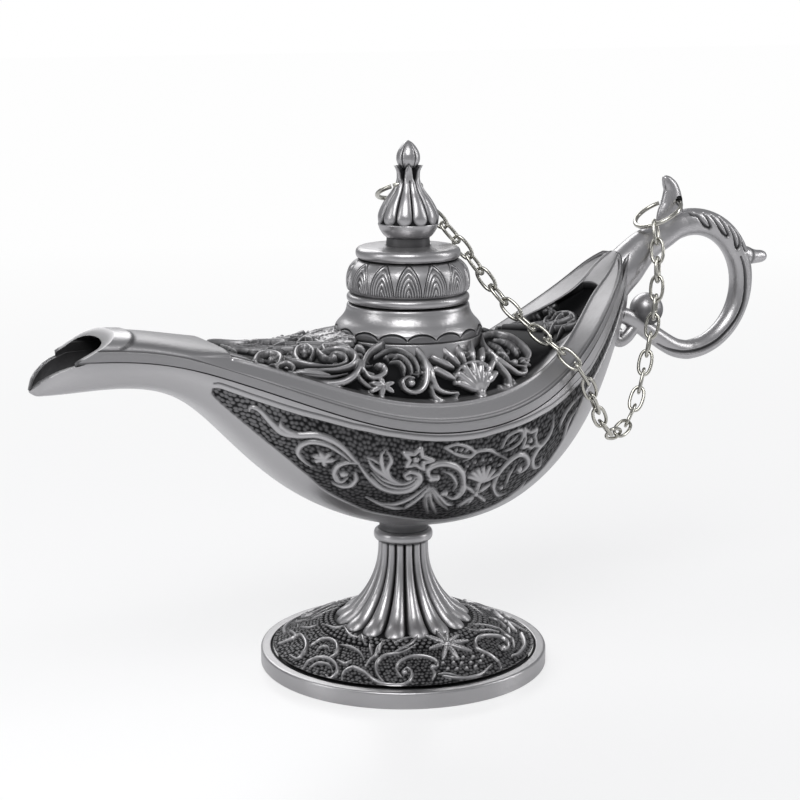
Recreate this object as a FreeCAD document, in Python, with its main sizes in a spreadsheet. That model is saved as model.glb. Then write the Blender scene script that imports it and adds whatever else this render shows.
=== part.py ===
"""Genie oil lamp in cast zinc: footed boat-shaped bowl, pierced cover, lift-off lid and its chain.

Millimetres. +X runs from the foot's axis to the handle, -X to the spout, +Z up.
The origin is the centre of the foot's underside, on the plane that the lamp stands on.
"""
import FreeCAD, Part

import math
import os

import Sketcher

V = FreeCAD.Vector
X_AXIS = V(1, 0, 0)
Y_AXIS = V(0, 1, 0)
Z_AXIS = V(0, 0, 1)
ORIGIN = V(0, 0, 0)
TURN = 360

doc = FreeCAD.newDocument("GenieLamp")
sheet = doc.addObject("Spreadsheet::Sheet", "Sizes")

SIZES = [
    # foot and stem, one casting, hollow below
    ("foot_diameter", 50.0),
    ("foot_edge_height", 2.85),
    ("foot_edge_chamfer", 0.4),
    ("foot_band_width", 1.75),
    ("foot_band_depth", 0.45),
    ("foot_relief_height", 3.4),
    ("foot_rest_width", 2.6),
    ("foot_hollow_height", 1.5),
    ("stem_height", 21.7),
    ("stem_waist_radius", 4.25),
    ("stem_waist_height", 20.7),
    ("stem_flare_radius", 10.3),
    ("stem_flare_height", 10.4),
    ("stem_curve_radius", 11.9),
    ("stem_seat_radius", 4.2),
    ("stem_seat_height", 11.2),
    ("flute_count", 16),
    # fixing screw of the foot
    ("screw_radius", 1.5),
    ("screw_fit", 0.05),
    ("screw_head_radius", 2.6),
    ("screw_head_height", 1.7),
    ("screw_length", 17.0),
    ("screw_slot_width", 0.6),
    ("screw_slot_depth", 0.8),
    ("washer_radius", 3.2),
    ("washer_thickness", 0.6),
    # bowl: reach from the foot's axis, beam, heights of the rim and the keel
    ("spout_reach", 65.5),
    ("stern_reach", 45.5),
    ("rim_beam", 40.0),
    ("rim_low", 44.5),
    ("rim_rise", 25.0),
    ("crest_share", 0.615),
    ("keel_low", 24.9),
    ("keel_rise", 30.0),
    ("bowl_wall", 1.3),
    ("spout_wall", 0.95),
    ("boss_radius", 5.04),
    ("boss_neck_radius", 4.6),
    ("boss_height", 2.7),
    ("boss_edge", 0.5),
    ("boss_inner_radius", 3.3),
    ("boss_inner_height", 5.2),
    ("screw_hole_end", 1.2),
    ("mouth_tip_height", 54.0),
    ("mouth_cut_length", 8.6),
    ("mouth_lip_height", 59.3),
    ("seam_gap", 0.25),
    # stern horn that carries the handle
    ("horn_root_radius", 4.2),
    # cover: lip, band, raised deck
    ("cover_front_inset", 5.9),
    ("cover_stern_inset", 2.3),
    ("cover_wall", 1.2),
    ("lip_height", 1.4),
    ("lip_lean", 0.15),
    ("lip_full_width", 3.0),
    ("cover_mouth_length", 8.1),
    ("cover_mouth_height", 4.2),
    # neck collar, on an axis a little behind the foot's
    ("neck_offset", 0.93),
    ("collar_base_radius", 12.5),
    ("collar_base_drop", 2.275),
    ("collar_skirt_radius", 12.9),
    ("collar_skirt_drop", 5.275),
    ("collar_flare_radius", 11.1),
    ("collar_flare_rise", 1.525),
    ("scallop_count", 16),
    ("collar_top_radius", 10.3),
    ("collar_rise", 3.425),
    ("collar_spigot_radius", 9.6),
    ("collar_spigot_drop", 3.875),
    ("neck_bore_radius", 8.2),
    # lid with its plug
    ("lid_clearance", 0.3),
    ("lid_ring_radius", 10.2),
    ("lid_ring_height", 1.5),
    ("lid_groove", 0.35),
    ("drum_radius", 10.4),
    ("drum_low_height", 2.95),
    ("drum_high_radius", 8.5),
    ("drum_high_height", 7.5),
    ("drum_mid_height", 4.6),
    ("petal_count", 13),
    ("lid_top_radius", 8.0),
    ("lid_top_height", 9.0),
    ("lid_crown", 0.35),
    ("lid_wall", 1.15),
    ("plug_depth", 5.2),
    # finial: foot, ribbed bulb, pierced neck, leaf collar, bud
    ("finial_foot_radius", 3.45),
    ("bulb_radius", 5.2),
    ("finial_height", 17.55),
    ("rib_count", 9),
    ("ring_hole_radius", 0.95),
    ("finial_ring_height", 10.35),
    ("lid_screw_radius", 1.1),
    ("lid_screw_length", 4.9),
    ("lid_screw_hole", 4.0),
    ("lid_screw_head_radius", 2.2),
    ("lid_screw_head_height", 1.3),
    # handle: loop, hook with its hole, knob, scroll, spur
    ("loop_stand_off", 14.5),
    ("loop_drop", 7.9),
    ("loop_radius", 11.9),
    ("loop_tube_radius", 2.6),
    ("hook_setback", 3.7),
    ("hook_rise", 16.0),
    ("hook_width", 5.6),
    ("hook_thickness", 2.6),
    ("hook_hole_radius", 0.95),
    ("knob_radius", 3.0),
    ("scroll_radius", 1.2),
    ("spur_radius", 1.65),
    ("spur_length", 5.0),
    ("spur_angle", 25.0),
    ("spur_tilt", 5.0),
    # jump rings and chain
    ("ring_wire_radius", 0.35),
    ("finial_ring_radius", 3.75),
    ("finial_ring_reach", 3.48),
    ("finial_ring_droop", 25.0),
    ("handle_ring_radius", 4.4),
    ("handle_ring_droop", 29.4),
    ("ring_split", 7.0),
    ("link_length", 5.0),
    ("link_width", 2.75),
    ("link_wire_radius", 0.28),
    ("link_count", 30),
]
NAMES = [alias for alias, _ in SIZES]
for row, (alias, number) in enumerate(SIZES, start=1):
    sheet.set(f"A{row}", alias)
    sheet.set(f"B{row}", str(number))
    sheet.setAlias(f"B{row}", alias)
doc.recompute()


def size(name):
    """A driving dimension, read from the sheet."""
    return float(getattr(sheet, name))


def value(expression):
    """The number that an expression of the sheet's names gives now."""
    result = sheet.evalExpression(expression)
    return float(getattr(result, "Value", result))


def bound(expression):
    """The same expression as a formula that another object can follow."""
    words = [("Sizes." + w) if w in NAMES else w for w in expression.split(" ")]
    return " ".join(words)


# Helpers for bodies made of sketched features


def new_body(name, rise=None, offset=None):
    """A body named after its node, stood at a height and an X of the sheet where they are given."""
    body = doc.addObject("PartDesign::Body", name)
    body.Label = name
    if rise:
        body.setExpression("Placement.Base.z", bound(rise))
    if offset:
        body.setExpression("Placement.Base.x", bound(offset))
    return body


def origin_part(body, role):
    """One of a body's own origin planes or axes, found by its role."""
    return next(f for f in body.Origin.OriginFeatures if f.Role == role)


def new_sketch(body, name, role, lift=None):
    """A sketch on an origin plane of its body, lifted by an expression if one is given."""
    sketch = body.newObject("Sketcher::SketchObject", name)
    sketch.AttachmentSupport = [(origin_part(body, role), "")]
    sketch.MapMode = "FlatFace"
    if lift:
        sketch.setExpression("AttachmentOffset.Base.z", bound(lift))
    return sketch


def pin_point(sketch, edge, end, across, up):
    """Ties a point of the sketch to two expressions; zero puts it on the axis."""
    for kind, axis, expression in (("DistanceX", -2, across), ("DistanceY", -1, up)):
        if expression == "0":
            sketch.addConstraint(Sketcher.Constraint("PointOnObject", edge, end, axis))
        else:
            rule = Sketcher.Constraint(kind, -1, 1, edge, end, value(expression))
            index = sketch.addConstraint(rule)
            sketch.setExpression(f"Constraints[{index}]", bound(expression))


def corner_point(corner):
    """Where a corner of an outline lies in the sketch now."""
    return V(value(corner[0]), value(corner[1]), 0)


def arc_middle(a, b, radius):
    """Middle of an arc from a to b: a positive radius swells to the right of the way, outwards."""
    chord = b - a
    half = chord.Length / 2
    side = V(chord.y, -chord.x, 0).normalize()
    rise = abs(radius) - math.sqrt(radius * radius - half * half)
    return (a + b) * 0.5 + side * math.copysign(rise, radius)


def end_at(sketch, edge, point):
    """Which end of an edge, 1 or 2, lies on a point."""
    shape = sketch.Geometry[edge]
    return 1 if (shape.StartPoint - point).Length < (shape.EndPoint - point).Length else 2


def draw_outline(sketch, corners):
    """A closed outline, anticlockwise. A corner is (across, up) in expressions of the sheet; a third
    entry makes the edge that arrives there an arc and gives its radius, minus where it is hollow."""
    points = [corner_point(c) for c in corners]
    count = len(corners)
    for i in range(count):
        a, b = points[i - 1], points[i]
        if len(corners[i]) == 3:
            bulge = value(corners[i][2])
            first, last = (a, b) if bulge > 0 else (b, a)
            sketch.addGeometry(Part.Arc(first, arc_middle(a, b, bulge), last), False)
        else:
            sketch.addGeometry(Part.LineSegment(a, b), False)
    for i in range(count):
        following = (i + 1) % count
        ends = end_at(sketch, i, points[i]), end_at(sketch, following, points[i])
        sketch.addConstraint(Sketcher.Constraint("Coincident", i, ends[0], following, ends[1]))
    for i in range(count):
        pin_point(sketch, i, end_at(sketch, i, points[i]), *corners[i][:2])
        if len(corners[i]) == 3:
            expression = corners[i][2].replace("0 - ", "")
            index = sketch.addConstraint(Sketcher.Constraint("Radius", i, value(expression)))
            sketch.setExpression(f"Constraints[{index}]", bound(expression))


def turned_body(name, corners, rise=None, offset=None):
    """A body turned about its own Z axis from an outline of (radius, height) corners."""
    body = new_body(name, rise, offset)
    sketch = new_sketch(body, name + "_outline", "XZ_Plane")
    draw_outline(sketch, corners)
    turned = body.newObject("PartDesign::Revolution", name + "_turned")
    turned.Profile = sketch
    turned.ReferenceAxis = (sketch, ["V_Axis"])
    turned.Angle = TURN
    sketch.Visibility = False
    doc.recompute()
    return body


def solid_feature(name, shape, place=None):
    """A node's object that carries a solid worked out from the sheet."""
    feature = doc.addObject("Part::Feature", name)
    feature.Label = name
    feature.Shape = shape
    if place:
        feature.Placement = place
    return feature


def cut_from(shape, *tools):
    """What is left of a solid once others are taken away."""
    for tool in tools:
        shape = shape.cut(tool)
    return max(shape.Solids, key=lambda solid: solid.Volume)


def closed_solid(faces):
    """A solid from faces that meet edge to edge."""
    shell = Part.makeShell(faces)
    shell.sewShape()
    solid = Part.makeSolid(shell)
    if solid.Volume < 0:
        solid.reverse()
    return solid


def faceted_solid(sections):
    """A solid of flat triangles between rings of points, with as many points in every ring."""
    faces = [Part.Face(Part.makePolygon(ring + [ring[0]])) for ring in (sections[0], sections[-1])]
    for low, high in zip(sections, sections[1:]):
        for k in range(len(low)):
            faces.append(Part.Face(Part.makePolygon([low[k - 1], low[k], high[k], low[k - 1]])))
            faces.append(Part.Face(Part.makePolygon([low[k - 1], high[k], high[k - 1], low[k - 1]])))
    return closed_solid(faces)


def turned_ring(corners, centre_x=0.0, rise=0.0):
    """A solid turned about a vertical line from (radius, height) corners."""
    points = [V(r, 0, z) for r, z in corners]
    face = Part.Face(Part.makePolygon(points + [points[0]]))
    solid = face.revolve(ORIGIN, Z_AXIS, TURN)
    return solid.translated(V(centre_x, 0, rise))


def fluted_solid(levels, count, start_z, centre_x=0.0):
    """Rings of crests and hollows, lofted upwards. A level is (height, crest radius, hollow's share)."""
    rings = []
    for height, radius, depth in levels:
        points = []
        for step in range(2 * count):
            angle = math.radians(TURN / 2 * step / count)
            reach = radius * (1 - depth * (step % 2))
            points.append(V(centre_x + reach * math.cos(angle), reach * math.sin(angle), start_z + height))
        rings.append(points)
    return faceted_solid(rings)


# Foot: stem and base in one casting, fluted, hollow from below

STEM_STEPS = 7
STEM_SWELL_SHARE = 0.16


foot_edge = size("foot_diameter") / 2
foot_band = foot_edge - size("foot_band_width")
foot_rest = foot_edge - size("foot_edge_chamfer") - size("foot_rest_width")


def stem_levels():
    """Heights above the flare and radii: the disc, the stem's hollow curve, the straight waist."""
    rise = size("stem_waist_height") - size("stem_flare_height")
    centre = size("stem_waist_radius") + size("stem_curve_radius")
    out = [(size("foot_edge_height") - size("foot_band_depth") - size("stem_flare_height"), foot_band, 0),
           (size("foot_relief_height") - size("stem_flare_height"), foot_band, 0)]
    for step in range(STEM_STEPS + 1):
        share = step / STEM_STEPS
        below = rise * (1 - share)
        radius = centre - math.sqrt(size("stem_curve_radius") ** 2 - below ** 2)
        out.append((rise * share, radius, STEM_SWELL_SHARE * min(1, 3 * share)))
    out.append((size("stem_height") - size("stem_flare_height"), size("stem_waist_radius"), STEM_SWELL_SHARE))
    return out


foot_base = turned_ring([
    (0, 0),
    (foot_edge, 0),
    (foot_edge, size("foot_edge_height") - size("foot_edge_chamfer")),
    (foot_edge - size("foot_edge_chamfer"), size("foot_edge_height")),
    (0, size("foot_edge_height")),
])
foot_hollow = turned_ring([
    (0, 0),
    (foot_rest, 0),
    (foot_rest, size("foot_hollow_height")),
    (0, size("foot_hollow_height")),
])
foot_dome = fluted_solid([
    (0, foot_rest, 0),
    (size("stem_seat_height") - size("foot_hollow_height"), size("stem_seat_radius"), 0),
], int(size("flute_count")), size("foot_hollow_height"))
stem = fluted_solid(stem_levels(), int(size("flute_count")), size("stem_flare_height"))
foot_bore = Part.makeCylinder(size("screw_radius") + size("screw_fit"), size("stem_height"))
foot = solid_feature("foot", cut_from(foot_base.fuse(stem), foot_hollow, foot_dome, foot_bore))

foot_screw = turned_body("foot_screw", [
    ("0", "0 - screw_head_height"),
    ("screw_head_radius", "0 - screw_head_height"),
    ("screw_head_radius", "0"),
    ("screw_radius", "0"),
    ("screw_radius", "screw_length"),
    ("0", "screw_length"),
], "stem_seat_height - washer_thickness")
slot_sketch = new_sketch(foot_screw, "screw_slot_outline", "XY_Plane", "0 - screw_head_height")
draw_outline(slot_sketch, [
    ("0 - screw_head_radius", "0 - screw_slot_width / 2"),
    ("screw_head_radius", "0 - screw_slot_width / 2"),
    ("screw_head_radius", "screw_slot_width / 2"),
    ("0 - screw_head_radius", "screw_slot_width / 2"),
])
slot = foot_screw.newObject("PartDesign::Pocket", "screw_slot")
slot.Profile = slot_sketch
slot.Reversed = True
slot.setExpression("Length", bound("screw_slot_depth"))
slot_sketch.Visibility = False

foot_washer = turned_body("foot_washer", [
    ("screw_radius + 2 * screw_fit", "0"),
    ("washer_radius", "0"),
    ("washer_radius", "washer_thickness"),
    ("screw_radius + 2 * screw_fit", "washer_thickness"),
], "stem_seat_height - washer_thickness")

# Bowl: stations along X as shares of the length, half beam, keel and rim as shares of their spans

HULL_SHARES = [
    # along, width, keel, rim
    (0.000, 0.060, 0.960, 0.588),
    (0.014, 0.180, 0.957, 0.588),
    (0.050, 0.285, 0.957, 0.588),
    (0.122, 0.350, 0.970, 0.584),
    (0.194, 0.445, 0.933, 0.536),
    (0.257, 0.575, 0.777, 0.440),
    (0.320, 0.710, 0.520, 0.332),
    (0.392, 0.845, 0.270, 0.204),
    (0.473, 0.950, 0.105, 0.076),
    (0.563, 1.000, 0.000, 0.000),
    (0.662, 0.995, -0.022, 0.008),
    (0.752, 0.925, 0.040, 0.116),
    (0.833, 0.760, 0.210, 0.324),
    (0.887, 0.595, 0.390, 0.520),
    (0.923, 0.455, 0.563, 0.664),
    (0.950, 0.350, 0.743, 0.788),
    (0.977, 0.210, 0.910, 0.924),
    (1.000, 0.080, 1.090, 1.004),
]
HULL_SAMPLES = 7
HOLLOW_SAMPLES = 4
LENGTHWISE_DEGREE = 3
STEPS_PER_SPAN = 2
HULL_SIDE_POWER = 2.3
HULL_KEEL_POWER = 1.75


def along_hull(share):
    """X of a station from its share of the bowl's length."""
    return -size("spout_reach") + share * (size("spout_reach") + size("stern_reach"))


def hull_stations():
    """X, half beam, keel height and rim height of each station."""
    out = []
    for along, width, keel, rim in HULL_SHARES:
        out.append((
            along_hull(along),
            width * size("rim_beam") / 2,
            size("keel_low") + keel * size("keel_rise"),
            size("rim_low") + rim * size("rim_rise"),
        ))
    return out


def between(stations, x):
    """A station's numbers at any X, on straight lines between the listed ones."""
    for a, b in zip(stations, stations[1:]):
        if a[0] <= x <= b[0]:
            t = (x - a[0]) / (b[0] - a[0])
            return (x,) + tuple(p + (q - p) * t for p, q in zip(a[1:], b[1:]))
    return (x,) + tuple(stations[0 if x < stations[0][0] else -1][1:])


def arch(half, rise, side_power, crown_power, count):
    """Points of a rounded arch from its right foot over the crown to the left, as (y, height)."""
    out = []
    for i in range(2 * count + 1):
        angle = math.pi * i / (2 * count)
        c, s = math.cos(angle), math.sin(angle)
        out.append((
            half * math.copysign(abs(c) ** (2 / side_power), c),
            rise * abs(s) ** (2 / crown_power),
        ))
    return out


def clamped(count, degree):
    """Knots and multiplicities of a spline that starts and ends on its first and last poles."""
    inner = count - degree - 1
    return [degree + 1] + [1] * inner + [degree + 1], [float(k) for k in range(inner + 2)]


def stationed_solid(sections):
    """A solid led by smooth curves through sections square to X, each a ring with as many points."""
    mults, knots = clamped(len(sections), LENGTHWISE_DEGREE)
    curves = []
    for row in zip(*sections):
        curve = Part.BSplineCurve()
        curve.buildFromPolesMultsKnots(list(row), mults, knots, False, LENGTHWISE_DEGREE)
        curves.append(curve)
    count = STEPS_PER_SPAN * int(knots[-1])
    return faceted_solid([[curve.value(knots[-1] * i / count) for curve in curves] for i in range(count + 1)])


def hull_section(x, half, keel, rim, samples):
    """Cross-section of the hull: a U of short straights closed by one across the rim."""
    return [V(x, y, rim - down)
            for y, down in arch(half, rim - keel, HULL_SIDE_POWER, HULL_KEEL_POWER, samples)]


def prism_y(corners, half):
    """A straight bar along Y from corners in the XZ plane."""
    points = [V(x, -half, z) for x, z in corners]
    face = Part.Face(Part.makePolygon(points + [points[0]]))
    return face.extrude(Y_AXIS * (2 * half))


def hull_outside():
    """The bowl's outer form, filled."""
    return stationed_solid([hull_section(*s, HULL_SAMPLES) for s in hull_stations()])


INNER_SHARES = (0.012, 0.030, 0.060, 0.122, 0.194, 0.257, 0.320, 0.392, 0.473,
                0.563, 0.662, 0.752, 0.833, 0.887, 0.923)
TROUGH_SHARE = 0.194


def hull_inside():
    """The space inside the bowl, drawn above its rim so that it opens fully."""
    sections = []
    for share in INNER_SHARES:
        x, half, keel, rim = between(hull_stations(), along_hull(share))
        wall = size("spout_wall") if share < TROUGH_SHARE else size("bowl_wall")
        sections.append(hull_section(x, half - wall, keel + wall, rim + 2 * size("seam_gap"), HOLLOW_SAMPLES))
    return faceted_solid(sections)


# Cover stations: X, half width at the lip, lip foot, half width and height of the deck's edge, crest

COVER_SHARES = [
    # along, half width, rim, then of the rim: deck's half width; of the rise: deck's edge and crest
    (0.000, 0.295, 0.588, 0.54, 0.124, 0.164),
    (0.074, 0.350, 0.584, 0.57, 0.132, 0.172),
    (0.152, 0.445, 0.536, 0.63, 0.128, 0.168),
    (0.220, 0.575, 0.440, 0.71, 0.148, 0.196),
    (0.288, 0.710, 0.332, 0.77, 0.164, 0.230),
    (0.366, 0.845, 0.204, 0.80, 0.176, 0.350),
    (0.453, 0.950, 0.076, 0.83, 0.180, 0.520),
    (0.551, 1.000, 0.000, 0.835, 0.180, size("crest_share")),
    (0.658, 0.995, 0.008, 0.834, 0.180, 0.607),
    (0.755, 0.925, 0.116, 0.80, 0.176, 0.430),
    (0.842, 0.760, 0.324, 0.63, 0.124, 0.160),
    (0.901, 0.595, 0.520, 0.42, 0.080, 0.030),
    (0.940, 0.455, 0.664, 0.26, 0.064, 0.050),
    (0.969, 0.360, 0.788, 0.35, 0.056, 0.066),
    (0.988, 0.230, 0.888, 0.38, 0.046, 0.056),
    (1.000, 0.070, 0.944, 0.43, 0.040, 0.046),
]
DECK_SIDE_POWER = 2.3
DECK_CROWN_POWER = 2.8
DECK_SAMPLES = 5
HOLLOW_STATIONS = 11


COVER_FRONT = size("spout_reach") - size("cover_front_inset")


def cover_stations():
    """X, lip half width, lip foot, deck half width, deck edge and crest of each station."""
    out = []
    span = COVER_FRONT + size("stern_reach") - size("cover_stern_inset")
    for along, width, rim, inner, edge, crest in COVER_SHARES:
        half = width * size("rim_beam") / 2
        foot_z = size("rim_low") + rim * size("rim_rise")
        out.append((
            along * span - COVER_FRONT, half, foot_z,
            inner * half, foot_z + edge * size("rim_rise"), foot_z + crest * size("rim_rise"),
        ))
    return out


def cover_section(x, half, foot_z, deck_half, deck_edge, crest, grow, samples):
    """Cross-section of the cover's outer form: lip, band and arched deck over a flat underside."""
    low = foot_z + size("seam_gap") - grow
    lip = foot_z + size("seam_gap") + size("lip_height") * min(1, half / size("lip_full_width")) + grow
    rise = crest - deck_edge
    deck = [V(x, y, deck_edge + grow + math.copysign(up, rise))
            for y, up in arch(deck_half + grow, abs(rise), DECK_SIDE_POWER, DECK_CROWN_POWER, samples)]
    half = half + grow
    lean = size("lip_lean")
    right = [V(x, half, low), V(x, half - lean, lip)]
    left = [V(x, lean - half, lip), V(x, -half, low)]
    return right + deck + left


def cover_outside(grow):
    """The cover's outer form, filled, larger all round by a small amount."""
    return stationed_solid([cover_section(*s, grow, DECK_SAMPLES) for s in cover_stations()])


def cover_inside():
    """The space under the cover."""
    wall = size("cover_wall")
    sections = []
    for x, half, foot_z, deck_half, deck_edge, crest in cover_stations()[:HOLLOW_STATIONS]:
        inner = max(deck_half - wall / 2, wall)
        sections.append(cover_section(x, half - wall, foot_z - wall, inner, deck_edge - wall, crest - wall,
                                      0, HOLLOW_SAMPLES))
    return faceted_solid(sections)


# Horn: circles square to a line that climbs from the stern to the start of the handle's loop

LOOP_START = 125.0
LOOP_X = size("stern_reach") + size("loop_stand_off")
LOOP_Z = size("rim_low") + size("rim_rise") - size("loop_drop")
HOOK_X = LOOP_X - size("hook_setback")
HOOK_Z = LOOP_Z + size("hook_rise")
TUBE_SIDES = 10
HORN_SHARES = [
    # from the loop's centre in loop radii, share of the root's radius
    (-1.555, -0.092, 1.02),
    (-1.437, 0.134, 1.00),
    (-1.244, 0.374, 0.90),
    (-0.995, 0.588, 0.765),
    (-0.800, 0.723, 0.680),
    (-0.574, 0.819, 0.619),
]


def loop_point(angle, reach=None):
    """A point on the loop's centre line, the angle counted from +X towards +Z."""
    turn = math.radians(angle)
    reach = size("loop_radius") if reach is None else reach
    return V(LOOP_X + reach * math.cos(turn), 0, LOOP_Z + reach * math.sin(turn))


def loop_heading(angle):
    """The way along the loop, clockwise as seen from the near side."""
    turn = math.radians(angle)
    return V(math.sin(turn), 0, -math.cos(turn))


def tube_ring(centre, heading, radius, sides=TUBE_SIDES, flat=1):
    """A ring of short straights square to a heading in the XZ plane, thinner along Y if flat."""
    side = heading.cross(Y_AXIS).normalize()
    points = []
    for step in range(sides):
        angle = math.radians(TURN * step / sides)
        points.append(centre + side * (radius * math.cos(angle)) + Y_AXIS * (radius * flat * math.sin(angle)))
    return points


def swept_solid(points, radii):
    """A round bar through points in the XZ plane, with a radius at each."""
    rings = []
    for i, (point, radius) in enumerate(zip(points, radii)):
        before, after = points[max(i - 1, 0)], points[min(i + 1, len(points) - 1)]
        rings.append(tube_ring(point, (after - before).normalize(), radius))
    return faceted_solid(rings)


def horn_solid():
    """The root that carries the handle, from the bowl's stern up to the loop."""
    rings = []
    points = [V(LOOP_X + a * size("loop_radius"), 0, LOOP_Z + b * size("loop_radius"))
              for a, b, _ in HORN_SHARES]
    for i, (_, _, share) in enumerate(HORN_SHARES):
        last = i == len(points) - 1
        heading = loop_heading(LOOP_START) if last else points[i + 1] - points[max(i - 1, 0)]
        rings.append(tube_ring(points[i], heading.normalize(), share * size("horn_root_radius")))
    return faceted_solid(rings)


neck_x = size("neck_offset")
boss_top = size("keel_low") + size("boss_inner_height")
boss_high = size("stem_height") + size("boss_height")
boss = turned_ring([
    (0, size("stem_height")),
    (size("boss_radius") - size("boss_edge") / 2, size("stem_height")),
    (size("boss_radius"), size("stem_height") + size("boss_edge")),
    (size("boss_radius"), boss_high - size("boss_edge")),
    (size("boss_neck_radius"), boss_high),
    (size("boss_neck_radius"), size("keel_low") + size("boss_height")),
    (size("boss_inner_radius"), size("keel_low") + size("boss_height")),
    (size("boss_inner_radius"), boss_top),
    (0, boss_top),
])
screw_hole = Part.makeCylinder(size("screw_radius") + size("screw_fit"),
                               boss_top - size("screw_hole_end") - size("stem_height"),
                               V(0, 0, size("stem_height")))
front = -size("spout_reach")
MOUTH_SHARES = [
    # share of the cut's length back from the tip, share of its height above the tip
    (-0.12, -0.02), (0.12, 0.42), (0.41, 0.74), (0.76, 0.92), (0.92, 1.01),
]
mouth_height = size("mouth_lip_height") - size("mouth_tip_height")
mouth_corners = [(front + s * size("mouth_cut_length"), size("mouth_tip_height") + t * mouth_height)
                 for s, t in MOUTH_SHARES]
mouth_cut = prism_y(mouth_corners + [
    (mouth_corners[-1][0], size("mouth_lip_height") + size("rim_rise")),
    (mouth_corners[0][0], size("mouth_lip_height") + size("rim_rise")),
], size("rim_beam"))

hull = cut_from(hull_outside().fuse(boss), hull_inside())
inner_boss = turned_ring([
    (0, size("keel_low")),
    (size("boss_neck_radius") - size("boss_edge"), size("keel_low")),
    (size("boss_neck_radius") - size("boss_edge"), size("keel_low") + size("boss_height")),
    (size("boss_inner_radius"), size("keel_low") + size("boss_height")),
    (size("boss_inner_radius"), boss_top),
    (0, boss_top),
])
hull = hull.fuse(inner_boss)
cover_room = cover_outside(size("seam_gap"))
horn = cut_from(horn_solid(), hull_inside(), cover_room, cover_room.translated(X_AXIS * size("seam_gap")))
bowl_shape = cut_from(hull.fuse(horn), screw_hole, mouth_cut)
bowl = solid_feature("bowl", bowl_shape)

# Cover: a shell over the bowl, open at the spout, bored for the neck collar

slant = prism_y([
    (-COVER_FRONT - size("cover_mouth_length"),
     size("mouth_lip_height") - size("cover_mouth_height")),
    (-COVER_FRONT + 2 * size("cover_mouth_length"),
     size("mouth_lip_height") + 2 * size("cover_mouth_height")),
    (-COVER_FRONT - size("cover_mouth_length"),
     size("mouth_lip_height") + 2 * size("cover_mouth_height")),
], size("rim_beam"))
neck_bore = Part.makeCylinder(size("collar_spigot_radius") + size("screw_fit"), size("rim_beam"),
                              V(neck_x, 0, size("rim_low") + size("boss_height")))
cover = solid_feature("cover", cut_from(cover_outside(0), cover_inside(), slant, neck_bore))

# Neck collar: a turned ring that lies on the deck, with a spigot through it

SCALLOP_SHARE = 0.035
DECK_CREST = size("rim_low") + size("rim_rise") * size("crest_share")
collar = fluted_solid([
    (DECK_CREST - size("collar_skirt_drop"), size("collar_skirt_radius"), SCALLOP_SHARE),
    (DECK_CREST - size("collar_base_drop"), size("collar_base_radius"), SCALLOP_SHARE),
    (DECK_CREST + size("collar_flare_rise"), size("collar_flare_radius"), SCALLOP_SHARE),
    (DECK_CREST + size("collar_rise"), size("collar_top_radius"), 0),
], int(size("scallop_count")), 0, neck_x)
spigot = turned_ring([
    (size("neck_bore_radius"), DECK_CREST - size("collar_spigot_drop")),
    (size("collar_spigot_radius"), DECK_CREST - size("collar_spigot_drop")),
    (size("collar_spigot_radius"), DECK_CREST + size("collar_flare_rise")),
    (size("neck_bore_radius"), DECK_CREST + size("collar_flare_rise")),
], neck_x)
neck_space = Part.makeCylinder(size("neck_bore_radius"), DECK_CREST + size("collar_rise"), V(neck_x, 0, 0))
collar = cut_from(collar, neck_space, cover_outside(0)).fuse(spigot)
neck_collar = solid_feature("neck_collar", collar.removeSplitter())

# Lid: cap with a plug that drops into the neck's bore

lid_rise = "rim_low + rim_rise * crest_share + collar_rise + lid_clearance"
lid_base = value(lid_rise)
plug_radius = size("neck_bore_radius") - size("lid_clearance")
lid_peak = size("lid_top_height") + size("lid_crown")
lid_ring = turned_ring([
    (0, -size("plug_depth")),
    (plug_radius, -size("plug_depth")),
    (plug_radius, 0),
    (size("lid_ring_radius"), 0),
    (size("lid_ring_radius"), size("lid_ring_height")),
    (0, size("lid_ring_height")),
], neck_x, lid_base)
PETAL_SHARE = 0.05
petals = fluted_solid([
    (size("lid_ring_height") - size("lid_groove"), size("lid_ring_radius") - size("lid_groove"), 0),
    (size("lid_ring_height") + size("lid_groove"), size("lid_ring_radius") - size("lid_groove"), 0),
    (size("drum_low_height"), size("drum_radius"), PETAL_SHARE / 2),
    (size("drum_mid_height"), size("drum_radius"), PETAL_SHARE),
    (size("drum_high_height"), size("drum_high_radius"), PETAL_SHARE),
    (size("drum_high_height"), size("lid_top_radius"), 0),
    (size("lid_top_height"), size("lid_top_radius"), 0),
    (lid_peak, size("finial_foot_radius"), 0),
], int(size("petal_count")), lid_base, neck_x)
lid_hollow = turned_ring([
    (0, -size("plug_depth")),
    (plug_radius - size("lid_wall"), -size("plug_depth")),
    (plug_radius - size("lid_wall"), lid_peak - size("lid_wall")),
    (0, lid_peak - size("lid_wall")),
], neck_x, lid_base)
lid_bore = Part.makeCylinder(size("lid_screw_radius") + size("screw_fit"), lid_peak, V(neck_x, 0, lid_base))
lid_cap = solid_feature("lid_cap", cut_from(lid_ring.fuse(petals), lid_hollow, lid_bore))

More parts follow.
